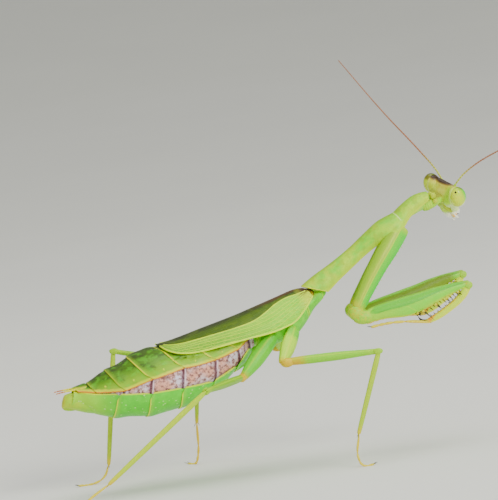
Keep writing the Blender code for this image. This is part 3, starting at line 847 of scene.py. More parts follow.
@finish_once
def wing_finish():
    """A leathery leaf-green cover: veins, cells between them and an inner field darkened by
    painted shade.
    """
    f = Finish("leaf_green_wing_cover", 0.1, 0.4, base=chosen("wing"))
    reach = f.stored("reach")
    anal = f.stored("anal")
    lumps = f.noise(1.4, 3)
    along = f.share * WING_LENGTH
    across = f.stored("reach_mm")
    net = f.cells(0.55, f.vector(along, across, 0.0), "DISTANCE_TO_EDGE")
    mesh = f.under(net, 0.07, 0.05)
    veins = f.waves("Y", (along * 0.12, across, 0.0), 0.62, 1.2, 1.0, 0.4)
    f.lay(f.over(lumps, 0.5, 0.2) * 0.6, 184, 216, 56)
    f.lay(f.over(f.share, 0.42, 0.35) * 0.75, 112, 148, 42)
    f.lay(f.band(anal, 9.0, 7.0, 6.0) * 0.25, 194, 218, 84)
    f.lay(f.over(veins, 0.82, 0.1) * 0.32, 198, 222, 92)
    f.lay(mesh * 0.25, 212, 230, 110)
    # Painted shade: the inner field, which faces up, is darkened, most of all near the ridge.
    inner = f.under(anal, 0.0, 1.2)
    ridge = f.under(reach, 22.0, 9.0)
    f.lay(inner * 0.95, 74, 94, 36)
    f.lay(inner * ridge * 0.8, 50, 52, 30)
    f.lay(inner * f.over(lumps, 0.54, 0.1) * 0.35, 112, 130, 56)
    brown = f.under(f.share, 0.3, 0.12) * f.under(reach, 16.0, 7.0)
    f.lay(brown * 0.8, 96, 66, 42)
    root = f.under(f.share, 0.045, 0.03)
    f.lay(root * 0.8, 210, 218, 110)
    f.lay(root * f.under(reach, 48.0, 12.0), 70, 48, 34)
    height = f.over(veins, 0.8, 0.15) * 0.05 + mesh * 0.025 + lumps * 0.04
    return f.end(0.45 + lumps * 0.15, height)


@finish_once
def vein_finish():
    """Cream veins, greener in patches."""
    f = Finish("cream_vein", 0.1, 0.4, base=tint(226, 238, 172))
    lumps = f.noise(0.8, 2)
    f.lay(f.over(lumps, 0.52, 0.15) * 0.5, 200, 224, 104)
    return f.end(0.45, lumps * 0.03)


@finish_once
def leg_finish(name, start, middle, end, start_reach, end_reach):
    """A leg's shell, in three colours from its start to its end, with fine grains."""
    f = Finish(name, 0.12, 0.35, base=start)
    lumps = f.noise(0.9, 3)
    fine = f.noise(0.2, 2)
    wobble = (lumps - 0.5) * 0.15
    f.cover(f.over(f.share + wobble, start_reach, 0.09), middle)
    f.cover(f.over(f.share + wobble, end_reach, 0.09), end)
    f.cover(f.over(f.rise, 0.2, 0.6) * 0.2, shade(middle, 1.25))
    f.lay(f.band(f.rise, 0.62, 0.1, 0.1) * 0.35, 222, 226, 140)
    f.cover(f.over(fine, 0.62, 0.06) * 0.3, shade(middle, 1.35))
    f.cover(f.under(f.cells(0.4), 0.16, 0.07) * 0.25, shade(middle, 0.7))
    height = fine * 0.05 + f.cells(0.22) * 0.03
    return f.end(0.4 + fine * 0.15, height)


@finish_once
def coxa_finish():
    """The grasping coxa: a blue-green front, a pale middle line and a yellow-green rear."""
    f = Finish("two_green_coxa", 0.15, 0.3, base=tint(170, 188, 54))
    lumps = f.noise(0.9, 3)
    fine = f.noise(0.18, 2)
    front = f.under(f.rise + (lumps - 0.5) * 0.12, 0.08, 0.05)
    f.lay(front, 158, 206, 126)
    f.lay(f.under(f.rise, -0.45, 0.3) * 0.7, 136, 200, 134)
    f.lay(f.over(f.rise, 0.6, 0.2) * 0.6, 138, 168, 56)
    f.lay(f.band(f.rise, 0.14, 0.05, 0.04) * 0.5, 212, 222, 116)
    f.lay(f.band(f.rise, 0.4, 0.06, 0.08) * 0.6, 196, 204, 56)
    grains = f.under(f.cells(0.36), 0.2, 0.08) * front
    f.lay(grains * 0.35, 206, 230, 180)
    joint = f.over(f.share + (lumps - 0.5) * 0.1, 0.94, 0.04)
    f.lay(joint * 0.7, 190, 190, 86)
    f.lay(f.under(f.share, 0.05, 0.05) * 0.7, 206, 208, 96)
    return f.end(0.38 + fine * 0.15, fine * 0.05 + grains * 0.05)


@finish_once
def elbow_finish():
    """The grasping trochanter: yellow-green with orange freckles."""
    f = Finish("freckled_elbow", 0.12, 0.35, base=tint(190, 200, 84))
    lumps = f.noise(0.45, 3)
    fine = f.noise(0.16, 2)
    f.lay(f.over(lumps, 0.5, 0.1), 174, 202, 84)
    f.lay(f.over(f.noise(0.3, 3), 0.6, 0.05) * f.under(f.share, 0.5, 0.2) * 0.45, 196, 160, 90)
    f.lay(f.over(f.share, 0.75, 0.15) * 0.7, 182, 208, 100)
    return f.end(0.42, lumps * 0.1 + fine * 0.04)


@finish_once
def grasp_finish(hand):
    """A grasping femur: a darker upper stripe, blue-green below it and an inner face darkened
    olive by painted shade.
    """
    f = Finish("striped_grasping_femur", 0.15, 0.3, base=tint(184, 212, 108))
    lumps = f.noise(1.2, 3)
    fine = f.noise(0.18, 2)
    f.lay(f.over(f.share, 0.3, 0.15), 170, 214, 124)
    f.lay(f.over(lumps, 0.52, 0.12) * 0.3, 180, 212, 100)
    above = f.rise - f.share * 0.52 + 0.1
    root = f.share - (f.rise - 0.45) * (f.rise - 0.45) * 0.22 - 0.1
    stripe = f.over(above, 0.0, 0.05) * f.over(root, 0.0, 0.02)
    f.lay(stripe, 134, 182, 62)
    f.lay(f.band(above, 0.14, 0.07, 0.1) * f.over(root, 0.02, 0.03) * 0.6, 104, 160, 48)
    line = f.band(above, -0.03, 0.03, 0.03) * f.over(root, -0.03, 0.02)
    f.lay(line * 0.6, 186, 212, 98)
    f.lay(f.over(f.rise, 0.86, 0.06) * f.over(root, 0.0, 0.03) * 0.7, 166, 196, 84)
    slant = f.band(f.share - f.rise * -0.09, 0.42, 0.006, 0.006) * f.band(f.rise, -0.35, 0.4, 0.08)
    f.lay(slant * 0.7, 196, 222, 110)
    f.lay(f.under(f.rise, -0.8, 0.08) * 0.7, 222, 226, 150)
    f.lay(f.under(f.rise, -0.55, 0.15) * f.over(f.share, 0.6, 0.15) * 0.6, 214, 218, 106)
    end = f.over(f.share, 0.95, 0.03)
    f.lay(end * 0.6, 178, 186, 92)
    freckles = f.under(f.cells(0.4), 0.2, 0.06) * end
    f.lay(freckles * 0.8, 206, 150, 76)
    f.lay(f.over(fine, 0.6, 0.06) * 0.2, 190, 222, 140)
    # Painted shade: the inner face, turned towards the body, is darkened to olive.
    inner = f.over(f.side * -hand, 0.1, 0.12) * f.under(f.rise - lumps * 0.2, 0.72, 0.12)
    f.cover(inner * f.under(f.share, 0.9, 0.05) * 0.85, f.blend(lumps, tint(104, 112, 50),
                                                                tint(122, 134, 66)))
    height = fine * 0.05 + f.cells(0.3) * 0.03 + line * 0.03
    return f.end(0.38 + fine * 0.15, height)


@finish_once
def tibia_finish():
    """The grasping tibia: yellow-green, cream along its outer edge, orange near the claw."""
    f = Finish("cream_edged_tibia", 0.12, 0.35, base=tint(206, 222, 112))
    fine = f.noise(0.22, 3)
    f.lay(f.over(fine, 0.5, 0.12), 216, 228, 134)
    f.lay(f.under(f.rise, -0.5, 0.15) * 0.8, 234, 236, 176)
    f.lay(f.over(f.rise, 0.6, 0.15) * f.over(f.share, 0.3, 0.1) * 0.6, 216, 190, 90)
    f.lay(f.over(f.share + f.rise * 0.1, 0.9, 0.05) * 0.85, 212, 160, 76)
    f.lay(f.under(f.share, 0.06, 0.05) * 0.6, 186, 190, 90)
    return f.end(0.42, fine * 0.06)


@finish_once
def cream_finish():
    """Cream and yellow shell with orange-brown ends, for the grains on the grasping coxa."""
    f = Finish("cream_shell", 0.12, 0.35, base=tint(222, 222, 150))
    fine = f.noise(0.22, 3)
    f.lay(f.over(fine, 0.5, 0.12), 234, 230, 176)
    f.lay(f.under(f.rise, -0.2, 0.4) * 0.5, 206, 214, 110)
    f.lay(f.over(f.share, 0.82, 0.12) * 0.75, 206, 142, 72)
    f.lay(f.under(f.share, 0.08, 0.06) * 0.5, 196, 200, 84)
    return f.end(0.42, fine * 0.06)


@finish_once
def foot_finish():
    """Pinkish-cream feet, browner at each joint."""
    f = Finish("pinkish_cream_foot", 0.1, 0.4, base=tint(210, 200, 138))
    fine = f.noise(0.18, 3)
    f.lay(f.over(fine, 0.5, 0.12), 224, 216, 164)
    ends = f.over(abs(f.share - 0.5), 0.42, 0.05)
    f.lay(ends * 0.5, 172, 124, 80)
    f.lay(f.under(f.rise, -0.3, 0.3) * 0.4, 208, 170, 120)
    return f.end(0.45, fine * 0.05)


@finish_once
def amber_finish():
    """Yellow-brown plates of the neck and the mouthparts' bases."""
    f = Finish("yellow_brown_plate", 0.15, 0.35, base=tint(178, 184, 52))
    lumps = f.noise(0.4, 3)
    f.lay(f.over(lumps, 0.5, 0.12), 190, 204, 78)
    f.lay(f.over(lumps, 0.62, 0.06) * 0.5, 150, 124, 50)
    return f.end(0.42, lumps * 0.1)


@finish_once
def hinge_finish():
    """The brown back of the wing-bearing thorax, between the roots of the wings."""
    f = Finish("brown_wing_hinge", 0.12, 0.35, base=tint(88, 66, 44))
    lumps = f.noise(0.4, 3)
    f.lay(f.over(lumps, 0.5, 0.12), 144, 128, 74)
    return f.end(0.42, lumps * 0.1)


@finish_once
def cercus_finish():
    """Cerci: cream with a reddish-brown end."""
    f = Finish("cream_cercus", 0.1, 0.4, base=tint(226, 222, 160))
    fine = f.noise(0.15, 2)
    f.lay(f.over(f.share, 0.62, 0.12), 176, 110, 84)
    f.lay(f.over(fine, 0.6, 0.08) * 0.3, 236, 230, 186)
    return f.end(0.45, fine * 0.04)


@finish_once
def keel_finish():
    """The egg-laying keel: green at its root and yellow-green at its end, freckled."""
    f = Finish("yellow_green_keel", 0.12, 0.35, base=tint(160, 200, 84))
    lumps = f.noise(0.7, 3)
    fine = f.noise(0.25, 2)
    f.lay(f.over(f.share, 0.5, 0.3), 190, 206, 88)
    f.lay(f.over(lumps, 0.52, 0.12) * 0.4, 172, 206, 106)
    f.lay(f.over(fine, 0.64, 0.05) * f.over(f.share, 0.8, 0.1) * 0.6, 186, 164, 60)
    f.lay(f.over(f.share, 0.96, 0.03) * 0.6, 212, 208, 108)
    return f.end(0.4, lumps * 0.1 + fine * 0.04)


@finish_once
def spine_finish():
    """Spines and claws: green-cream at the root and black at the tip."""
    f = Finish("black_tipped_spine", 0.3, 0.25, base=tint(206, 206, 130))
    fine = f.noise(0.1, 2)
    tip = f.over(f.share + (fine - 0.5) * 0.1, 0.34, 0.12)
    f.lay(tip, 34, 26, 20)
    f.lay(f.band(f.share, 0.26, 0.08, 0.08) * 0.4, 150, 100, 60)
    return f.end(0.32, fine * 0.02)


@finish_once
def head_finish():
    """The head's shell: cream and green; painted shade as a dark brown band along the crown, a
    painted highlight by each eye.
    """
    f = Finish("pale_green_head", 0.15, 0.3, base=tint(204, 204, 152))
    lumps = f.noise(0.8, 3)
    fine = f.noise(0.18, 2)
    crown, out = f.stored("crown"), f.stored("out")
    front, far = f.stored("front"), f.stored("far")
    f.lay(f.over(lumps, 0.5, 0.15), 216, 218, 168)
    # The green behind each eye is weaker on the far side: painted shade.
    near = 0.85 - f.over(far, 0.6, 0.8) * 0.6
    f.lay(f.over(out + (lumps - 0.5) * 0.5, 0.85, 0.45) * near, 198, 222, 144)
    # Painted highlight: a pale band on the capsule beside each eye.
    f.lay(f.band(out + (lumps - 0.5) * 0.3, 2.2, 0.16, 0.14) * 0.6, 232, 238, 190)
    f.lay(f.over(front, 0.5, 0.3) * 0.7, 178, 208, 110)
    low = f.under(crown + (lumps - 0.5) * 0.4, -2.6, 0.4)
    f.lay(low * 0.85, 232, 240, 208)
    # Painted shade: a tan edge and a dark brown band along the crown, reaching lower on the far
    # side.
    depth = crown + front * 0.5 + far * 0.11 + (lumps - 0.5) * 0.25
    f.lay(f.over(depth, -0.45, 0.25) * 0.4, 194, 172, 132)
    f.lay(f.over(depth, -0.14, 0.12) * 0.9, 112, 84, 58)
    f.lay(f.over(depth, 0.04, 0.12) * 0.95, 54, 38, 26)
    return f.end(0.4, fine * 0.05 + lumps * 0.05)


@finish_once
def eye_finish(cap):
    """A glossy yellow-green faceted eye, green in front; painted highlight below, shade on top,
    dark pseudopupil.
    """
    f = Finish("faceted_eye", 0.22, 0.12, base=tint(216, 221, 40))
    facet = f.cells(0.07, feature="DISTANCE_TO_EDGE")
    lumps = f.noise(0.5, 2)
    crown, front = f.stored("crown"), f.stored("front")
    f.lay(f.over(lumps, 0.5, 0.2), 208, 222, 50)
    f.lay(f.over(front + crown * 0.3, 0.1, 0.35) * 0.8, 190, 214, 62)
    f.lay(f.over(front, 0.4, 0.3) * 0.9, 132, 200, 96)
    # Painted highlight: the lower front of the eye is white.
    f.lay(f.under(crown - front * 0.45, -0.55, 0.22) * 0.95, 250, 253, 246)
    # Painted shade: a brown top, beginning as high as the cap says.
    f.lay(f.over(front * 0.5 + crown * 0.85, cap, 0.14) * 0.85, 80, 62, 40)
    lines = f.waves("Z", (0.0, 0.0, front), 1.6, 0.4)
    f.lay(f.over(lines, 0.7, 0.2) * 0.1, 150, 170, 60)
    # Painted pseudopupil: a dark spot that stands for the shade seen down the facets from one
    # side.
    f.lay(f.under(f.stored("dot"), 0.15, 0.035), 18, 14, 10)
    return f.end(0.2, f.over(facet, 0.012, 0.012) * 0.006)


@finish_once
def mouth_finish():
    """White and cream mouthparts with dark and amber spots."""
    f = Finish("cream_mouthparts", 0.15, 0.35, base=tint(252, 251, 246))
    lumps = f.noise(0.5, 3)
    fine = f.noise(0.14, 2)
    f.lay(f.over(f.stored("crown"), -3.2, 0.5), 206, 222, 142)
    f.lay(f.over(lumps, 0.55, 0.1) * 0.3, 236, 234, 206)
    f.lay(f.under(f.stored("amber") + (fine - 0.5) * 0.1, 0.4, 0.1) * 0.85, 232, 196, 96)
    f.lay(f.under(f.stored("dark"), 0.16, 0.04) * 0.95, 66, 48, 40)
    return f.end(0.45, fine * 0.05 + lumps * 0.05)


@finish_once
def feeler_finish():
    """Feelers: green-yellow at the root, then red-brown with a ring at every joint."""
    f = Finish("ringed_feeler", base=tint(206, 212, 160))
    rings = f.waves("X", (f.along, 0.0, 0.0), 0.75)
    f.lay(f.over(f.share, 0.16, 0.1), 156, 108, 84)
    f.lay(f.over(rings, 0.75, 0.15) * 0.45, 86, 56, 40)
    return f.end(0.5, rings * 0.02)


@finish_once
def floor_finish():
    """A plain pale floor."""
    f = Finish("plain_pale_floor", base=tint(240, 240, 236))
    f.lay(f.noise(60.0, 2), 246, 246, 242)
    return f.end(0.7)


# ================================================================ trunk
def make_pronotum():
    """The long saddle-shaped shield, flared over the forelegs, with a groove across it."""
    rings = []
    for x in steps(-0.6, PRONOTUM_LENGTH + 0.3, 44):
        dip = 0.1 * math.exp(-((x - GROOVE_PLACE) / 0.3) ** 2)
        top = follow(PRONOTUM_TOP, x) - dip
        deep = (top - follow(PRONOTUM_MARGIN, x)) / (1 + math.sqrt(0.5))
        rings.append((x, follow(PRONOTUM_HALF, x) - dip, deep, top - deep))
    shield = draw_out("pronotum_shield", 24, rings, cap="NOTHING")

    def under(co):
        _, _, deep, rise = min(rings, key=lambda ring: abs(ring[0] - co.x))
        return (co.z - rise) / deep < -0.75

    edit(shield, under)
    bpy.ops.mesh.delete(type="VERT")
    edit(shield, lambda co: abs(co.y) < 0.01)
    bpy.ops.transform.translate(value=(0, 0, 0.05))
    rest()
    smooth(shield, 2)
    mark(shield, rings)
    for vertex in shield.data.vertices:
        flare = math.exp(-((vertex.co.x - FLARE_PLACE) / FLARE_REACH) ** 2)
        low = max(follow(PRONOTUM_MARGIN, vertex.co.x) + 1.1 - vertex.co.z, 0)
        vertex.co.y *= 1 + 0.32 * flare * low
    store(shield, edge=lambda co: co.z - follow(PRONOTUM_MARGIN, co.x),
          rear=lambda co: co.x - PRONOTUM_START + co.z * PRONOTUM_LEAN,
          groove=lambda co: co.x - GROOVE_PLACE - 0.8 * max(0.4 - co.z, 0) ** 2)
    slice_off(shield, ((PRONOTUM_START, 0, 0), (-1, 0, -PRONOTUM_LEAN)),
              ((PRONOTUM_LENGTH - 0.5, 0, 0), (1, 0, -0.6)))
    thicken(shield, PRONOTUM_WALL)
    bend_along(shield, PROTHORAX_LINE)
    dress(shield, shell_finish(), "prothorax")


def make_throat():
    """The softer body of the prothorax under its shield."""
    rings = []
    count = 40
    for step, x in enumerate(steps(0.6, PRONOTUM_LENGTH + 0.5, count)):
        top, under = follow(PRONOTUM_TOP, x) - 0.25, follow(THROAT_UNDER, x)
        swell = max(math.sin(math.pi * step / count) ** 0.2, 0.25)
        fold = 0.05 * math.sin(x * 7) if x > GROOVE_PLACE + 1.5 else 0
        rings.append((x, (follow(PRONOTUM_HALF, x) - 0.3) * swell + fold,
                      (top - under) / 2 * swell + fold, (top + under) / 2))
    body = drawn("prosternum", 24, rings, line=PROTHORAX_LINE)
    dress(body, throat_finish(), "prothorax")


def make_thorax():
    """The wing-bearing thorax: a core, and raised side plates cut from its own form."""
    rings = rings_along(path_length(THORAX_LINE), THORAX_WIDTHS, THORAX_DEPTHS, 16, 0.3)
    core = drawn("thorax_core", 24, rings, line=THORAX_LINE, edge=1.0)
    tuck(core)
    dress(core, flank_finish(), "thorax")
    hinge = ball("wing_hinge", (6.9, 0, 23.0), (1.25, 1.6, 0.85), 32, 24)
    dress(hinge, hinge_finish(), "thorax")
    grown = [(x, wide + 0.1, deep + 0.1, rise) for x, wide, deep, rise in rings]
    gap, lean = 0.35, 0.45
    for side_name, hand in SIDES.items():
        for number, (start, stop) in enumerate(THORAX_CUTS, 1):
            planes = (((start, 0, -1), (-1, 0, -lean)), ((stop, 0, -1), (1, 0, lean)),
                      ((0, hand * gap, 0), (0, -hand, 0)), ((0, 0, 2.0), (0, 0, 1)))
            piece = plate(f"side_plate_{number}_{side_name}", 24, grown, planes,
                          SIDE_PLATE_WALL, THORAX_LINE, edge=lambda co: min(
                              co.x - start + lean * (co.z + 1),
                              stop - co.x - lean * (co.z + 1), hand * co.y - gap))
            tuck(piece)
            dress(piece, flank_finish(), "thorax")


def wing_share(x):
    """How far x is from the wing's root to its tip, from 0 to 1."""
    return (x - WING_ROOT_X) / -WING_LENGTH


def roof(share):
    """The wings' roof at a share of their length: its eaves, half width and rise."""
    eaves = follow(WING_EDGE_HEIGHTS, share)
    return eaves, follow(WING_WIDTHS, share), follow(WING_RIDGE, share) - eaves


def tuck(piece, room=0.36):
    """Draw in the points that would stand through the wings that roof the trunk."""
    for vertex in piece.data.vertices:
        point = vertex.co
        share = wing_share(point.x)
        fade = min(max((share - 1.0) / 0.07, 0), 1)
        eaves, wide, tall = roof(min(max(share, 0), 1))
        if fade == 1 or share < -0.1 or point.z < eaves - 0.6:
            continue
        rise = max(point.z - eaves, 0)
        reach = math.hypot(point.y / (wide - room), rise / max(tall - room, 0.2))
        if reach > 1:
            tucked = Vector((point.x, point.y / reach, eaves + rise / reach if rise else point.z))
            vertex.co = tucked.lerp(point, fade)


def abdomen_rings(start, stop, count, grow):
    """Rings of the abdomen from one place to another, grown by a rule of the place."""
    rings = []
    for x in steps(start, stop, count):
        share = min(max(x / ABDOMEN_LENGTH, 0), 1)
        rings.append((x, read(ABDOMEN_WIDTHS, share) + grow(x),
                      read(ABDOMEN_DEPTHS, share) + grow(x), 0))
    return rings


def plate_edge(table, place):
    """How high a row of plates ends at a place along the abdomen."""
    return read(table, place / ABDOMEN_LENGTH)


def make_abdomen_skin():
    """The stretched skin under the plates, creased where two plates meet."""
    def grow(x):
        nearest = min(abs(x - joint) for joint in BACK_JOINTS)
        return -0.2 - 0.1 * math.exp(-(nearest / 0.3) ** 2)

    def from_fold(co):
        return min((co.x - joint - FOLD_LEAN * max(plate_edge(BACK_EDGE, joint) - co.z, 0)
                    for joint in BACK_JOINTS), key=abs)

    skin = drawn("flank_skin", 32, abdomen_rings(-0.2, 23.4, 60, grow), 1, ABDOMEN_LINE,
                 rear=from_fold)
    tuck(skin)
    dress(skin, flank_skin_finish(), "abdomen")


def make_back_plates():
    """Back plates, each lapping over the front of the next."""
    lean = 0.55
    for number, (start, stop) in enumerate(zip(BACK_JOINTS, BACK_JOINTS[1:]), 1):
        run = stop - start
        low, high = plate_edge(BACK_EDGE, start), plate_edge(BACK_EDGE, stop)
        slope = (high - low) / run
        middle = start + run * 0.45
        rings = abdomen_rings(start - 0.9, stop + 3.4, 12,
                              lambda x: 0.03 + 0.16 * min(max((x - start) / run, 0), 1.3))
        planes = (((start - 0.25, 0, low), (-1, 0, lean)), ((stop + 0.1, 0, high), (1, 0, -lean)),
                  ((start, 0, low), (slope, 0, -1)),
                  ((stop - 0.25, 0, high + 0.06), (0.72, 0, -0.7)))
        piece = plate(f"back_plate_{number}", 32, rings, planes, PLATE_WALL, ABDOMEN_LINE,
                      edge=lambda co: co.z - low - slope * (co.x - start),
                      rear=lambda co: stop + 0.1 + lean * (co.z - high) - co.x,
                      place=lambda co: co.x,
                      pore=lambda co: math.hypot(co.x - middle - lean,
                                                 co.z - low - slope * (middle - start) - 0.85))
        tuck(piece, 0.3)
        dress(piece, back_plate_finish(), "abdomen")


def make_belly_plates():
    """Belly plates, each lapping over the front of the next, their corners rounded off."""
    lean = 0.28
    for number, (start, stop) in enumerate(zip(BELLY_JOINTS, BELLY_JOINTS[1:]), 1):
        last = stop == BELLY_JOINTS[-1]

        def grow(x):
            part = min(max((x - start) / (stop - start), 0), 1.2)
            return 0.02 + (0.15 * part - 0.8 * max(part - 0.6, 0) if last else 0.15 * part)

        low, high = plate_edge(BELLY_EDGE, start), plate_edge(BELLY_EDGE, stop)
        slope = (high - low) / (stop - start)
        planes = [((start - 0.3, 0, low), (-1, 0, -lean)), ((stop + 0.1, 0, high), (1, 0, lean)),
                  ((start, 0, low), (-slope, 0, 1)), ((start + 0.35, 0, low), (-0.55, 0, 0.83))]
        if not last:
            planes += [((stop - 0.5, 0, high - 0.04), (0.5, 0, 0.86)),
                       ((stop - 0.12, 0, high - 0.3), (0.8, 0, 0.6))]
        lead = 3.0 if last else 0.1
        rings = abdomen_rings(start - 1.2, stop + 1.4, 14, grow)
        piece = plate(f"belly_plate_{number}", 32, rings, planes, PLATE_WALL, ABDOMEN_LINE,
                      edge=lambda co: low + slope * (co.x - start) - co.z,
                      rear=lambda co: stop + lead - lean * (co.z - high) - co.x,
                      place=lambda co: co.x)
        dress(piece, belly_plate_finish(), "abdomen")


def slant(co, length):
    """Lean the end of the keel."""
    co.x -= 0.32 * co.z * (co.x / length) ** 6


def make_tail():
    """The egg-laying keel with its tips, the last back plate and the pair of jointed cerci."""
    keel = limb("tail_keel", KEEL_LINE,
                ((0, 2.6), (0.3, 2.45), (0.7, 2.08), (0.88, 1.6), (1, 1.15)),
                ((0, 1.5), (0.4, 1.4), (0.72, 1.26), (1, 1.08)), 20, 16, blunt=0.2, carve=slant)
    tips = [limb("keel_tip", ((-25.6, hand * 0.3, 12.35), (-26.9, hand * 0.28, 12.42),
                              (-27.8, hand * 0.2, 12.5)),
                 ((0, 0.35), (0.6, 0.34), (1, 0.2)), ((0, 0.3), (0.6, 0.34), (1, 0.24)), 10)
            for hand in HANDS]
    dress(join([keel, *tips], "tail_keel"), keel_finish(), "tail_plate")
    cap = limb("tail_cap", ((-24.2, 0, 15.0), (-25.4, 0, 14.95), (-26.4, 0, 15.0)),
               ((0, 1.9), (0.5, 1.4), (1, 0.6)), ((0, 0.7), (0.5, 0.42), (1, 0.2)), 16)
    store(cap, edge=lambda co: co.z - 14.75, rear=lambda co: co.x + 26.5, pore=1.0, place=25.0)
    dress(cap, back_plate_finish(), "tail_plate")
    for side_name, hand in SIDES.items():
        joints = []
        start = Vector((-25.5, 0.95 * hand, 14.9))
        for number in range(CERCUS_JOINTS):
            aim = heading_vector(174 * hand, 1 - number)
            size = 0.2 - 0.014 * number
            joint = limb(f"cercus_ring_{number}", (start, start + aim * 0.42),
                         ((0, size * 0.8), (0.6, size), (1, size * 0.85)), sides=8, count=5,
                         levels=1, blunt=0.5)
            for part in joint.data.attributes["share"].data:
                part.value = (number + part.value) / CERCUS_JOINTS
            joints.append(joint)
            start = start + aim * 0.34
        dress(join(joints, "cercus_" + side_name), cercus_finish(),
              "cercus_" + side_name)


# ================================================================ wings
def on_wing(hand, share, sweep, lift=0.0):
    """A point on the wing roof: a share of the length, and degrees round from the ridge."""
    share = min(max(share, 0), 1)
    eaves, wide, tall = roof(share)
    turn = math.radians(sweep)
    forward = WING_ROOT_LEAN * sweep / 90 * max(1 - share / 0.14, 0) ** 2
    return Vector((WING_ROOT_X + forward - WING_LENGTH * share,
                   hand * (wide + lift) * math.sin(turn), eaves + (tall + lift) * math.cos(turn)))


def make_wing(side_name, hand):
    """A wing cover drawn as half of the roof, drawn in to its rounded end, walled and veined."""
    rings = []
    for spot in steps(0, 1, 26):
        eaves, wide, tall = roof(spot ** 1.25)
        rings.append((WING_ROOT_X - WING_LENGTH * spot ** 1.25, wide, tall, eaves))
    cover = draw_out("wing_cover_" + side_name, 64, rings, cap="NOTHING")
    edit(cover, lambda co: co.z < roof(wing_share(co.x))[0] - 0.01 or co.y * hand < -0.01)
    bpy.ops.mesh.delete(type="VERT")
    rest()
    # The right cover's ridge laps over the left one's, so that no slit shows between them.
    lift, ridge_sweep = (0.05, -4.5) if hand < 0 else (0.0, 0.4)
    places = []
    for vertex in cover.data.vertices:
        share = min(max(wing_share(vertex.co.x), 0), 1)
        eaves, wide, tall = roof(share)
        rise = max(vertex.co.z - eaves, 0)
        sweep = math.degrees(math.atan2(abs(vertex.co.y) / wide, rise / tall))
        share *= follow(WING_END, sweep)
        vertex.co = on_wing(hand, share, sweep if sweep > 1.2 else ridge_sweep, lift)
        places.append((share, sweep, sweep / 90 * (wide + tall) * 0.72,
                       sweep - follow(ANAL_LINE, share)))
    for name, values in zip(("share", "reach", "reach_mm", "anal"), zip(*places)):
        cover.data.attributes.new(name, "FLOAT", "POINT").data.foreach_set("value", values)
    smooth(cover, 1)
    apply_modifier(cover, "wall", "SOLIDIFY", thickness=WING_WALL, offset=-1)
    face_outwards(cover)
    edge_line = [on_wing(hand, share, 89, lift)
                 for share in (0.0, 0.02, 0.05, 0.1, 0.17, 0.28, 0.4, 0.52, 0.64, 0.74)]
    edge_line += [on_wing(hand, follow(WING_END, sweep), sweep, lift)
                  for sweep in (86, 78, 66, 52, 38, 26)]
    anal_line = [on_wing(hand, share, follow(ANAL_LINE, share), lift) for share in
                 (0.01, 0.06, 0.12, 0.2, 0.28, 0.36, 0.5, 0.62, 0.74, 0.86, 0.92, 0.955)]
    veins = [thread("costal_vein", edge_line, sizes().vein_radius / MM),
             thread("anal_vein", anal_line, 0.085)]
    for start, stop, first, last in FINE_VEINS:
        sweeps = ((0, first - 12), (0.35, first + 7), (1, last))
        veins.append(thread("fine_vein", [on_wing(hand, spot, read(sweeps, spot), lift)
                                          for spot in steps(start, stop, 8)], 0.032, 1))
    lines = join(veins, "veins_" + side_name)
    dress(cover, wing_finish(), "forewing_" + side_name)
    dress(lines, vein_finish(), "forewing_" + side_name)


# ================================================================ head
def head_turn():
    """The head's place and turn in the animal's frame, in millimetres."""
    turn = Matrix.Translation(HEAD_CENTRE)
    for degrees, axis in ((HEAD_TURN, "Z"), (-HEAD_LIFT, "Y"), (HEAD_TILT, "X")):
        turn = turn @ Matrix.Rotation(math.radians(degrees), 4, axis)
    return turn


def head_dress(piece, finish, node="head"):
    """Dress a piece of the head, which is drawn upright and turned as the head is."""
    dress(piece, finish, node, head_turn())


def head_marks(piece):
    """Store how far each point of a head piece is below the crown's saddle, and its place."""
    store(piece, crown=lambda co: co.z - HEAD_TOP - HEAD_SADDLE * co.y ** 2,
          front=lambda co: co.x, out=lambda co: abs(co.y), far=lambda co: co.y)


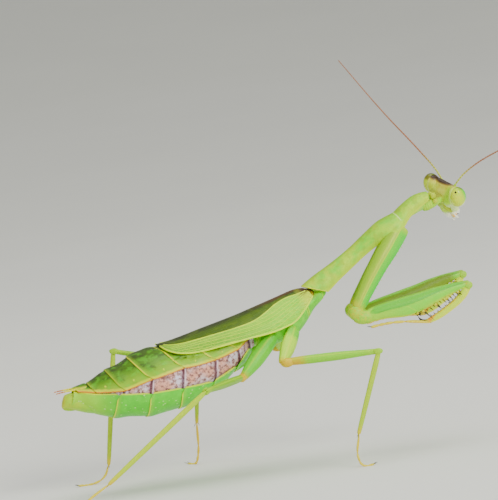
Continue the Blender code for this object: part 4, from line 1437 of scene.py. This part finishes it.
def make_head():
    """The broad head capsule that bridges the eyes, with its face plates and ocelli."""
    rings = rings_along(HEAD_HEIGHT, HEAD_WIDTHS, HEAD_DEPTHS, 18, 0.42, rises=HEAD_LEANS,
                        tip=0.2)
    capsule = drawn("head_capsule", 32, rings)
    for vertex, form in zip(capsule.data.vertices, capsule.data.attributes["form"].data):
        _, wide, deep = form.vector
        square = (wide ** 4 + deep ** 4) ** 0.25
        if square > 0.05:
            fuller = math.hypot(wide, deep) / square
            lean = read(HEAD_LEANS, vertex.co.x / HEAD_HEIGHT)
            fuller = min(fuller, 1.12) if vertex.co.x < HEAD_HEIGHT * 0.2 else fuller
            vertex.co.y *= fuller
            vertex.co.z = lean + (vertex.co.z - lean) * fuller
    bake(capsule, Matrix.Translation((0, 0, HEAD_TOP)) @ Matrix.Rotation(math.pi / 2, 4, "Y"))
    for vertex in capsule.data.vertices:
        fade = min(max((vertex.co.z + 1.0) / 2.0, 0), 1)
        vertex.co.z += HEAD_SADDLE * vertex.co.y ** 2 * fade
    press(capsule, lambda co: co.x < -0.2 and abs(abs(co.y) - 0.8 + co.z * 0.12) < 0.07
          and -1.5 < co.z < 0.9, 0.05)
    press(capsule, lambda co: co.x < -0.2 and abs(co.z + 1.0 + abs(co.y) * 0.6) < 0.07, 0.05)
    temples = [ball("temple", (0.02, 2.15 * hand, 0.05), (1.1, 0.95, 1.45), 48, 32)
               for hand in HANDS]
    capsule = join([capsule, *temples], "head_capsule")
    head_marks(capsule)
    head_dress(capsule, head_finish())

    shield = ball("face_shield", (0.8, 0, -0.62), (0.34, 0.98, 0.46))
    clypeus = ball("clypeus", (0.76, 0, -1.6), (0.32, 0.86, 0.55))
    cheeks = [ball("cheek", (0.35, hand * 1.1, -2.35), (0.72, 0.42, 0.95)) for hand in HANDS]
    face = join([shield, clypeus, *cheeks], "face_plates")
    store(face, share=0.5)
    head_marks(face)
    head_dress(face, head_finish())

    beads = [ball("ocellus", place, (0.17, 0.17, 0.17), 16, 12)
             for place in ((0.95, 0, 0.2), (0.88, 0.34, 0.5), (0.88, -0.34, 0.5))]
    ocelli = join(beads, "ocelli")
    store(ocelli, crown=0.2, front=0.0, dot=1.0)
    head_dress(ocelli, eye_finish(0.9))


def make_eyes():
    """Two big glossy eyes with a thin rim round each."""
    x_radius, _, z_radius = EYE_RADII
    for side_name, hand in SIDES.items():
        centre = Vector((0.05, 2.65 * hand, 0.05))
        dot = centre + Vector(EYE_PSEUDOPUPILS[side_name])
        eye = ball("eye_ball_" + side_name, centre, EYE_RADII, 64, 48)
        store(eye, crown=lambda co: (co.z - centre.z) / z_radius,
              front=lambda co: (co.x - centre.x) / x_radius, dot=lambda co: (co - dot).length)
        head_dress(eye, eye_finish(EYE_CAPS[side_name]), "eye_" + side_name)
        rest()
        bpy.ops.mesh.primitive_torus_add(
            major_radius=1, minor_radius=0.035, major_segments=64, minor_segments=12,
            location=(centre.x, hand * 2.3, centre.z), rotation=(math.pi / 2, 0, 0))
        rim = named("eye_rim_" + side_name)
        rim.scale = (x_radius * 0.93, z_radius * 0.93, 1.0)
        bpy.ops.object.transform_apply()
        head_marks(rim)
        head_dress(rim, head_finish())


def make_mouthparts():
    """Upper lip, jaws, lower lip with its long base, and the two pairs of jointed palps."""
    lobe = ((0, 0.4), (0.5, 0.42), (1, 0.2))
    pieces = [
        limb("upper_lip", ((0.6, 0, -2.0), (0.95, 0, -3.2), (1.05, 0, -4.5)),
             ((0, 0.85), (0.5, 0.85), (1, 0.5)), ((0, 0.3), (1, 0.24))),
        limb("lower_lip", ((-1.0, 0, -1.6), (-0.55, 0, -3.2), (0.15, 0, -4.6), (0.5, 0, -5.2)),
             ((0, 0.6), (0.5, 0.75), (0.85, 0.6), (1, 0.4)), ((0, 0.42), (0.5, 0.4), (1, 0.22)),
             14, 12)]
    press(pieces[1], lambda co: abs(co.y) < 0.07 and co.z < -3.6, 0.07)
    for hand in HANDS:
        pieces += [
            limb("jaw", ((0.3, hand * 0.8, -2.5), (0.75, hand * 0.85, -3.6),
                         (1.1, hand * 0.35, -4.6)),
                 ((0, 0.5), (0.5, 0.46), (1, 0.2)), ((0, 0.55), (0.5, 0.5), (1, 0.2))),
            limb("maxilla_lobe", ((-0.1, hand * 0.75, -2.9), (0.25, hand * 0.8, -3.9),
                                  (0.6, hand * 0.4, -5.0)), lobe)]
    dark_spots = [Vector((0.61, hand * 1.1, -3.91)) for hand in HANDS]
    amber_spots = [Vector((0.06, hand * 1.02, -3.9)) for hand in HANDS]
    pieces += [ball("jaw_joint", spot, (0.14, 0.14, 0.14), 16, 12) for spot in dark_spots]
    pieces += [ball("palp_base", spot, (0.3, 0.22, 0.3), 16, 12) for spot in amber_spots]
    mouth = join(pieces, "mouthparts_soft")
    store(mouth, dark=lambda co: min((co - spot).length for spot in dark_spots),
          amber=lambda co: min((co - spot).length for spot in amber_spots),
          crown=lambda co: co.z)
    bases = [limb("maxilla_base", ((-1.1, hand * 0.35, -1.1), (-0.75, hand * 0.75, -2.2),
                                   (-0.1, hand * 0.85, -3.3)),
                  ((0, 0.3), (0.4, 0.36), (1, 0.3)), ((0, 0.3), (0.5, 0.34), (1, 0.26)))
             for hand in HANDS]
    palps = []
    for hand in HANDS:
        palps += [
            jointed("jaw_palp", ((-0.1, hand * 0.85, -3.1), (0.1, hand * 1.2, -3.9),
                                 (0.55, hand * 1.05, -4.6), (0.9, hand * 0.7, -5.0)),
                    PALP_SHARES, (0.13, 0.14, 0.15, 0.14, 0.12)),
            jointed("lip_palp", ((-0.3, hand * 0.5, -3.9), (-0.05, hand * 0.75, -4.6),
                                 (0.35, hand * 0.5, -5.2)), PALP_SHARES[2:], (0.13, 0.14, 0.12))]
    stalks, palps = join(bases, "maxilla_bases"), join(palps, "palps")
    store(palps, dark=1.0, amber=1.0, crown=-4.0)
    for piece, finish in ((mouth, mouth_finish()), (stalks, amber_finish()),
                          (palps, mouth_finish())):
        head_dress(piece, finish, "mouthparts")


def make_feelers():
    """Long thin feelers of many short joints, on a thicker root joint."""
    for side_name, hand in SIDES.items():
        root = head_turn() @ Vector((0.85, 0.9 * hand, 0.3))
        points = (root, *FEELER_ROUTES[side_name])
        length = path_length(points)
        step = length / FEELER_JOINTS
        rings = []
        for joint in range(FEELER_JOINTS):
            share = joint / FEELER_JOINTS
            size = read(((0, 0.15), (0.03, 0.12), (0.3, 0.1), (1, 0.06)), share)
            rings += [(share * length + step * part, size * swell, size * swell, 0)
                      for part, swell in ((0, 0.8), (0.3, 0.95), (0.85, 1))]
        rings.append((length, 0.03, 0.03, 0))
        feeler = drawn("feeler_" + side_name, 10, rings, 0, points)
        dress(feeler, feeler_finish(), "antenna_" + side_name)
        aim = (Vector(points[1]) - root).normalized()
        base = limb("feeler_root_" + side_name, (root - aim * 0.25, root + aim * 0.8),
                    ((0, 0.26), (0.6, 0.2), (1, 0.16)), crown=-1.5, front=0.0, out=1.6, far=0.0)
        dress(base, head_finish(), "antenna_" + side_name)


def make_neck():
    """The soft skin between the prothorax and the head, with rounded plates on each side."""
    sizes_along = ((0, 0.8), (0.2, 0.95), (0.42, 0.88), (0.7, 0.68), (1, 0.62))
    count = 24
    rings = []
    for step, x in enumerate(steps(0, path_length(NECK_LINE), count)):
        size = read(sizes_along, step / count)
        size += 0.007 * math.cos(x * 2 * math.pi / 0.6 + math.sin(x * 3))
        rings.append((x, size, size, 0))
    skin = drawn("neck_skin", 20, rings, 1, NECK_LINE)
    dress(skin, skin_finish(), "neck")
    plates = [ball("neck_plate", (x, hand * y, z), radii) for x, y, z, radii in
              ((25.85, 0.8, 33.95, (0.46, 0.4, 0.46)), (26.1, 0.78, 33.15, (0.42, 0.34, 0.36)))
              for hand in HANDS]
    dress(join(plates, "neck_plates"), amber_finish(), "neck")


# ================================================================ grasping legs
def spine_row(name, spines, line=None):
    """Curved pointed spines, one at each (root, aim, length, radius), joined, and bent."""
    rings = [(share, size, size, rise) for share, size, rise in
             ((0, 0.8, 0), (0.06, 1, 0), (0.2, 0.8, 0.005), (0.5, 0.5, 0.03), (0.8, 0.26, 0.08),
              (1, 0.06, 0.13))]
    first = drawn(name, 8, rings, 1)
    placed = []
    for root, aim, length, radius in spines:
        take(first)
        bpy.ops.object.duplicate(linked=False)
        turn = Vector(aim).to_track_quat("X", "Z").to_matrix().to_4x4()
        size = Matrix.Diagonal((length * sizes().spine_length, radius, radius, 1))
        placed.append(bake(bpy.context.object, Matrix.Translation(root) @ turn @ size))
    bpy.data.objects.remove(first, do_unlink=True)
    row = join(placed, name)
    return bend_along(row, line) if line else row


def narrow_below(co, length):
    """Narrow the underside of the grasping coxa."""
    if co.z < 0:
        co.y *= 1 - 0.25 * min(-co.z, 1.2) / 1.2


def make_fore_coxa(side_name, hand):
    """The long grasping coxa, three-edged, with pale grains on its front edge."""
    points, node = FORE_COXA[side_name], "fore_coxa_" + side_name
    depths = ((0, 1.5), (0.3, 1.46), (0.55, 1.28), (0.85, 1.14), (1, 1.1))
    coxa = limb("grasping_coxa_" + side_name, points,
                ((0, 0.9), (0.35, 1.1), (0.9, 0.85), (1, 0.8)), depths, 16, 18, blunt=0.12,
                tip=0.3, carve=narrow_below)
    dress(coxa, coxa_finish(), node)
    length = path_length(points)
    spines = []
    for number in range(15):
        share = 0.14 + 0.052 * number
        spines.append(((length * share, -hand * 0.1 + 0.2 * (number % 2),
                        -read(depths, share) + 0.06), (0.25, 0, -1), 0.16, 0.07))
    grains = spine_row("coxa_grains_" + side_name, spines, points)
    dress(grains, cream_finish(), node)
    elbow = FORE_ELBOW[side_name]
    joint = limb("grasping_trochanter_" + side_name, elbow, ((0, 0.8), (0.5, 0.9), (1, 0.85)),
                 ((0, 0.95), (0.5, 1.0), (1, 0.95)), 16, 12)
    cup = ball("elbow_cup", Vector(elbow[0]) + Vector((0.42, 0, 0.38)), (1.1, 0.9, 1.05), 32, 24)
    store(cup, share=0.2)
    dress(join([joint, cup], "grasping_trochanter_" + side_name), elbow_finish(),
          node)


def groove_below(co, length):
    """Groove the underside of the grasping femur, and narrow it."""
    low = min(max(-co.z / 1.2, 0), 1)
    if co.x / length > 0.44:
        co.z += 0.26 * low * max(1 - abs(co.y) / 0.4, 0)
    co.y *= 1 - 0.12 * low


def make_fore_femur(side_name, hand):
    """The grasping femur: a straight upper edge, grooved below between two rows of spines."""
    points, node = FORE_FEMUR[side_name], "fore_femur_" + side_name
    depths = ((0, 0.9), (0.15, 1.12), (0.45, 1.42), (0.64, 1.2), (0.8, 0.9), (0.94, 0.66),
              (1, 0.6))
    femur = limb("grasping_femur_" + side_name, points,
                 ((0, 0.78), (0.15, 0.88), (0.45, 0.92), (0.9, 0.62), (1, 0.58)), depths, 20, 24,
                 blunt=0.26, carve=groove_below)
    dress(femur, grasp_finish(hand), node)
    length = path_length(points)
    # Each spine: share of the length, place outwards, sunk depth, aim forwards and outwards,
    # length and radius.
    spines = [(share, 0.5, 0.22, 0.6, 0.2, size * 1.25, 0.24) for share, size in
              ((0.48, 0.6), (0.53, 0.8), (0.645, 0.9), (0.75, 0.85), (0.87, 0.62))]
    spines += [(0.5 + 0.033 * number, -0.42, 0.18, 0.5, -0.1, 0.95 if number % 2 else 0.6, 0.17)
               for number in range(13)]
    spines += [(share, 0.35, 0.1, 0.46, 0.25, size, 0.13) for share, size in
               ((0.47, 0.6), (0.54, 2.0))]
    row = spine_row("femur_spines_" + side_name, [
        ((length * share, hand * out, sunk - follow(depths, share)),
         (ahead, hand * aside, -1), size, radius)
        for share, out, sunk, ahead, aside, size, radius in spines], points)
    dress(row, spine_finish(), node)
    knees = [ball("knee_lobe", Vector(points[-1]) + Vector((-0.22, out * 0.42, -0.28)),
                  (0.5, 0.14, 0.5)) for out in HANDS]
    pair = join(knees, "fore_knee_lobes_" + side_name)
    store(pair, share=0.97)
    dress(pair, grasp_finish(hand), node)


def make_fore_tibia(side_name, hand):
    """The grasping tibia with two rows of short spines and the claw at its end."""
    points, node = FORE_TIBIA[side_name], "fore_tibia_" + side_name
    depths = ((0, 0.62), (0.15, 0.6), (0.5, 0.52), (0.85, 0.5), (1, 0.4))
    tibia = limb("grasping_tibia_" + side_name, points, ((0, 0.45), (0.3, 0.52), (1, 0.38)),
                 depths, 16, 18, blunt=0.25)
    dress(tibia, tibia_finish(), node)
    length = path_length(points)
    spines = []
    for out, count, lead in ((0.26, 9, 0.22), (-0.26, 11, 0.18)):
        for share in steps(lead, 0.88, count - 1):
            spines.append(((length * share, out * hand, read(depths, share) - 0.14),
                           (0.5, out * hand * 0.5, 1), 0.28 + 0.16 * share, 0.09))
    row = spine_row("tibia_spines_" + side_name, spines, points)
    end = Vector(points[-1])
    claw = limb("tibia_claw", [end + Vector(step) for step in
                               ((0.5, 0, 0.05), (-0.6, 0, 0.12), (-1.15, 0, 0.75))],
                ((0, 0.34), (0.5, 0.25), (1, 0.07)), ((0, 0.36), (0.5, 0.26), (1, 0.07)), 10, 12)
    dress(join([row, claw], "tibia_spines_" + side_name), spine_finish(), node)


def make_foot(name, points, radius, node):
    """Five foot joints and a pair of claws at the end, flattened where they would dip below the
    floor.
    """
    foot = jointed(name, points, FOOT_SHARES, [radius] * 5, depth=0.85, sides=10, swell=0.7)
    length = path_length(points)
    claws = spine_row(name + "_claws", [
        ((length * 0.94, out * radius * 0.4, 0.0), (1, out * 0.45, 0.28), 0.85, 0.09)
        for out in HANDS])
    for vertex in claws.data.vertices:
        vertex.co.z -= max(vertex.co.x - length * 1.04, 0) * 0.5
    bend_along(claws, points)
    for piece, finish in ((foot, foot_finish()), (claws, spine_finish())):
        for vertex in piece.data.vertices:
            vertex.co.z = max(vertex.co.z, 0.0)
        dress(piece, finish, node)


def make_fore_leg(side_name, hand):
    """A grasping leg, folded."""
    make_fore_coxa(side_name, hand)
    make_fore_femur(side_name, hand)
    make_fore_tibia(side_name, hand)
    make_foot("fore_foot_" + side_name, FORE_TARSUS[side_name], 0.26, "fore_tarsus_" + side_name)


# ================================================================ walking legs
def ridge(co, length):
    """Raise the four long edges of a leg piece a little."""
    swell = 1 + 0.07 * max(math.cos(4 * math.atan2(co.z, co.y)), 0)
    co.y *= swell
    co.z *= swell


def make_walking_leg(leg):
    """A middle or hind leg: hip, trochanter, femur, knee, tibia with spurs, and foot."""
    hip, coxa, femur, tibia, foot = WALKING_LEGS[leg]
    pair, side_name = leg.split("_")
    thick, deep, hip_rgb, root_rgb, thigh_rgb, shin_rgb = WALKING_LOOKS[pair]
    joints = chain(hip, (coxa, femur, tibia))
    out_of_hip, along_thigh, down_shin = (heading_vector(*step[1:])
                                          for step in (coxa, femur, tibia))

    def hang(piece, finish, part):
        dress(piece, finish, f"{pair}_{part}_{side_name}")

    hang(limb("hip_" + leg, (joints[0] - out_of_hip * 1.5, joints[1] + out_of_hip * 0.2),
              ((0, 0.9), (0.5, 0.95), (1, 0.7)), ((0, deep), (0.5, deep), (1, deep * 0.66)),
              16, 14, blunt=0.25, carve=ridge),
         leg_finish(pair + "_hip_shell", tint(140, 190, 104), tint(*hip_rgb),
                    tint(196, 172, 124), 0.3, 0.93), "coxa")
    bend = joints[1] + (along_thigh - out_of_hip) * 0.1
    hang(limb("trochanter_" + leg,
              (joints[1] - out_of_hip * 0.5, bend, joints[1] + along_thigh * 1.7),
              ((0, 0.5), (0.4, thick * 1.1), (1, thick * 0.82)),
              ((0, 0.55), (0.4, thick * 1.12), (1, thick * 0.85)), 14, 10),
         leg_finish("pinkish_trochanter", tint(206, 176, 130), tint(196, 178, 112),
                    tint(190, 172, 104), 0.2, 0.85), "femur")
    thigh_shell = leg_finish(pair + "_thigh_shell", tint(*root_rgb), tint(*thigh_rgb),
                             tint(178, 198, 84), 0.2, 0.9)
    hang(limb("thigh_" + leg, (joints[1] + along_thigh * 0.6, joints[2]),
              ((0, thick * 0.9), (0.5, thick * 0.88), (0.9, thick * 0.66), (1, thick * 0.66)),
              ((0, thick), (0.5, thick * 0.95), (0.9, thick * 0.72), (1, thick * 0.8)), 16, 16,
              blunt=0.25, carve=ridge), thigh_shell, "femur")
    across = along_thigh.cross(down_shin).normalized()
    turn = Matrix((along_thigh, across, along_thigh.cross(across))).transposed().to_4x4()
    lobes = [bake(ball("knee_lobe", (0, 0, 0), (0.6, 0.15, 0.4), 20, 12), Matrix.Translation(
        joints[2] + across * out * 0.32 - along_thigh * 0.1) @ turn) for out in HANDS]
    knee = join(lobes, "knee_" + leg)
    store(knee, share=0.95)
    hang(knee, thigh_shell, "femur")
    hang(limb("shin_" + leg, (joints[2], joints[3] + down_shin * 0.15),
              ((0, 0.34), (0.1, 0.36), (0.5, 0.33), (1, 0.3)),
              ((0, 0.38), (0.1, 0.4), (0.5, 0.35), (1, 0.32)), 12, 18, blunt=0.2, carve=ridge),
         leg_finish(pair + "_shin_shell", tint(186, 204, 88), tint(*shin_rgb),
                    tint(210, 190, 120), 0.1, 0.94), "tibia")
    side = down_shin.cross(UP).normalized()
    hang(spine_row("spurs_" + leg, [(joints[3] + side * out * 0.2, down_shin + side * out * 0.5,
                                     0.7, 0.07) for out in HANDS]), spine_finish(), "tibia")
    points = chain(joints[3], foot)
    for point in points[-2:]:
        point.z = FOOT_AXIS_HEIGHT
    make_foot("foot_" + leg, points, 0.21, f"{pair}_tarsus_{side_name}")


# ================================================================ stage
def make_stage():
    """The floor swept up behind the model, the soft lights and the camera."""
    turn, rise, roll = (math.radians(angle)
                        for angle in (VIEW_AZIMUTH, VIEW_ELEVATION, VIEW_ROLL))
    rest()
    bpy.ops.mesh.primitive_plane_add(size=FLOOR_SIZE, rotation=(0, 0, turn))
    floor = named("studio_floor")
    bpy.ops.object.transform_apply()
    far = Vector((-math.sin(turn), math.cos(turn), 0))
    edit(floor, lambda co: co.dot(far) > FLOOR_SIZE * 0.49)
    bpy.ops.mesh.extrude_region_move(TRANSFORM_OT_translate={"value": (0, 0, FLOOR_SIZE)})
    edit(floor, lambda co: co.dot(far) > FLOOR_SIZE * 0.49 and co.z < FLOOR_SIZE * 0.5)
    bpy.ops.mesh.bevel(offset=FLOOR_SIZE * 0.45, segments=32, affect="EDGES")
    take(floor)
    bpy.ops.object.shade_smooth()
    floor.data.materials.append(floor_finish())
    world = bpy.data.worlds.new("pale_studio")
    world.use_nodes = True
    sky = world.node_tree.nodes["Background"]
    sky.inputs["Color"].default_value = (*WORLD_COLOUR, 1)
    sky.inputs["Strength"].default_value = WORLD_STRENGTH
    bpy.context.scene.world = world

    back = Vector((math.sin(turn) * math.cos(rise), -math.cos(turn) * math.cos(rise),
                   math.sin(rise)))
    level = Vector((math.cos(turn), math.sin(turn), 0))
    upright = back.cross(level)
    right = math.cos(roll) * level - math.sin(roll) * upright
    top = math.sin(roll) * level + math.cos(roll) * upright
    target = (HOME + Vector((0, 0, VIEW_HEIGHT))) * MM
    for name, along, up, out, size, power, colour in LAMPS:
        rest()
        place = target + right * along + top * up + back * out
        aim = (target - place).to_track_quat("-Z", "Y").to_euler()
        bpy.ops.object.light_add(type="AREA", radius=size, location=place, rotation=aim)
        lamp = named(name)
        lamp.data.energy = power
        lamp.data.color = colour
    rest()
    bpy.ops.object.camera_add()
    camera = named("side_camera")
    camera.matrix_world = Matrix.Translation(target + back * VIEW_DISTANCE) @ Matrix(
        (right, top, back)).transposed().to_4x4()
    camera.data.lens = VIEW_LENS
    camera.data.clip_start = 0.01
    bpy.context.scene.camera = camera


# ================================================================ add-on
class MantisColours(bpy.types.PropertyGroup):
    """The main colours of the model."""
    shell: bpy.props.FloatVectorProperty(
        name="Pronotum", description="Colour of the long shield behind the head",
        default=tint(194, 216, 112), subtype="COLOR", min=0, max=1)
    # Laid over the back plates' upper side, where it also serves as painted shade.
    back: bpy.props.FloatVectorProperty(
        name="Back plates", description="Colour of the middle of the abdomen's back plates",
        default=tint(100, 136, 56), subtype="COLOR", min=0, max=1)
    belly: bpy.props.FloatVectorProperty(
        name="Belly plates", description="Colour of the abdomen's belly plates",
        default=tint(140, 194, 78), subtype="COLOR", min=0, max=1)
    flank: bpy.props.FloatVectorProperty(
        name="Flank skin", description="Colour of the stretched skin along the abdomen",
        default=tint(212, 178, 168), subtype="COLOR", min=0, max=1)
    wing: bpy.props.FloatVectorProperty(
        name="Wing covers", description="Colour of the outer field of the wing covers",
        default=tint(162, 202, 54), subtype="COLOR", min=0, max=1)


class MantisSizes(bpy.types.PropertyGroup):
    """Sizes that can be changed without changing the solids."""
    spine_length: bpy.props.FloatProperty(
        name="Spine length", description="Length of the spines against the real ones",
        default=1.0, min=0.5, max=1.5, subtype="FACTOR")
    vein_radius: bpy.props.FloatProperty(
        name="Vein radius", description="Radius of the thick vein at the edge of a wing cover",
        default=0.13 * MM, min=0.05 * MM, max=0.3 * MM, precision=5, unit="LENGTH")


class MANTIS_OT_prothorax(bpy.types.Operator):
    """Build the pronotum and the throat under it"""
    bl_idname = "mantis.prothorax"
    bl_label = "Prothorax"

    def execute(self, context):
        make_pronotum()
        make_throat()
        return {"FINISHED"}


class MANTIS_OT_neck(bpy.types.Operator):
    """Build the folded neck skin and its side plates"""
    bl_idname = "mantis.neck"
    bl_label = "Neck"

    def execute(self, context):
        make_neck()
        return {"FINISHED"}


class MANTIS_OT_thorax(bpy.types.Operator):
    """Build the wing-bearing thorax and its side plates"""
    bl_idname = "mantis.thorax"
    bl_label = "Thorax"

    def execute(self, context):
        make_thorax()
        return {"FINISHED"}


class MANTIS_OT_abdomen_skin(bpy.types.Operator):
    """Build the stretched skin of the abdomen"""
    bl_idname = "mantis.abdomen_skin"
    bl_label = "Abdomen skin"

    def execute(self, context):
        make_abdomen_skin()
        return {"FINISHED"}


class MANTIS_OT_back_plates(bpy.types.Operator):
    """Build the lapping back plates of the abdomen"""
    bl_idname = "mantis.back_plates"
    bl_label = "Back plates"

    def execute(self, context):
        make_back_plates()
        return {"FINISHED"}


class MANTIS_OT_belly_plates(bpy.types.Operator):
    """Build the lapping belly plates of the abdomen"""
    bl_idname = "mantis.belly_plates"
    bl_label = "Belly plates"

    def execute(self, context):
        make_belly_plates()
        return {"FINISHED"}


class MANTIS_OT_tail(bpy.types.Operator):
    """Build the end of the abdomen and the cerci"""
    bl_idname = "mantis.tail"
    bl_label = "Tail and cerci"

    def execute(self, context):
        make_tail()
        return {"FINISHED"}


class MANTIS_OT_wings(bpy.types.Operator):
    """Build the two wing covers and their veins"""
    bl_idname = "mantis.wings"
    bl_label = "Wing covers"

    def execute(self, context):
        for side_name, hand in SIDES.items():
            make_wing(side_name, hand)
        return {"FINISHED"}


class MANTIS_OT_head(bpy.types.Operator):
    """Build the head capsule, face and ocelli"""
    bl_idname = "mantis.head"
    bl_label = "Head"

    def execute(self, context):
        make_head()
        return {"FINISHED"}


class MANTIS_OT_eyes(bpy.types.Operator):
    """Build the eyes and their rims"""
    bl_idname = "mantis.eyes"
    bl_label = "Eyes"

    def execute(self, context):
        make_eyes()
        return {"FINISHED"}


class MANTIS_OT_mouthparts(bpy.types.Operator):
    """Build the lips, jaws and palps"""
    bl_idname = "mantis.mouthparts"
    bl_label = "Mouthparts"

    def execute(self, context):
        make_mouthparts()
        return {"FINISHED"}


class MANTIS_OT_feelers(bpy.types.Operator):
    """Build the two feelers"""
    bl_idname = "mantis.feelers"
    bl_label = "Feelers"

    def execute(self, context):
        make_feelers()
        return {"FINISHED"}


class MANTIS_OT_grasping_legs(bpy.types.Operator):
    """Build the folded grasping legs with their spines"""
    bl_idname = "mantis.grasping_legs"
    bl_label = "Grasping legs"

    def execute(self, context):
        for side_name, hand in SIDES.items():
            make_fore_leg(side_name, hand)
        return {"FINISHED"}


class MANTIS_OT_walking_legs(bpy.types.Operator):
    """Build the middle and hind legs and their feet"""
    bl_idname = "mantis.walking_legs"
    bl_label = "Walking legs"

    def execute(self, context):
        for leg in WALKING_LEGS:
            make_walking_leg(leg)
        return {"FINISHED"}


class MANTIS_OT_stage(bpy.types.Operator):
    """Build the floor, the soft lights and the camera"""
    bl_idname = "mantis.stage"
    bl_label = "Stage"

    def execute(self, context):
        make_stage()
        return {"FINISHED"}


OPERATORS = (
    MANTIS_OT_prothorax, MANTIS_OT_neck, MANTIS_OT_thorax, MANTIS_OT_abdomen_skin,
    MANTIS_OT_back_plates, MANTIS_OT_belly_plates, MANTIS_OT_tail, MANTIS_OT_wings,
    MANTIS_OT_head, MANTIS_OT_eyes, MANTIS_OT_mouthparts, MANTIS_OT_feelers,
    MANTIS_OT_grasping_legs, MANTIS_OT_walking_legs, MANTIS_OT_stage)


class MANTIS_PT_sidebar(bpy.types.Panel):
    """The mantis pieces, in the order in which they are built"""
    bl_idname = "MANTIS_PT_sidebar"
    bl_label = "Mantis"
    bl_space_type = "VIEW_3D"
    bl_region_type = "UI"
    bl_category = "Mantis"

    def draw(self, context):
        for group in (context.scene.mantis_colours, context.scene.mantis_sizes):
            box = self.layout.box()
            for name in group.__annotations__:
                box.prop(group, name)
        column = self.layout.column(align=True)
        for operator in OPERATORS:
            column.operator(operator.bl_idname)


CLASSES = (MantisColours, MantisSizes, *OPERATORS, MANTIS_PT_sidebar)


def register():
    for each in CLASSES:
        bpy.utils.register_class(each)
    bpy.types.Scene.mantis_colours = bpy.props.PointerProperty(type=MantisColours)
    bpy.types.Scene.mantis_sizes = bpy.props.PointerProperty(type=MantisSizes)


def unregister():
    del bpy.types.Scene.mantis_sizes
    del bpy.types.Scene.mantis_colours
    for each in reversed(CLASSES):
        bpy.utils.unregister_class(each)


def main():
    """Register the add-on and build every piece."""
    register()
    for operator in OPERATORS:
        family, name = operator.bl_idname.split(".")
        result = getattr(getattr(bpy.ops, family), name)()
        if result != {"FINISHED"}:
            raise RuntimeError(operator.bl_label + " was not built")
    rest()


if __name__ == "__main__":
    main()
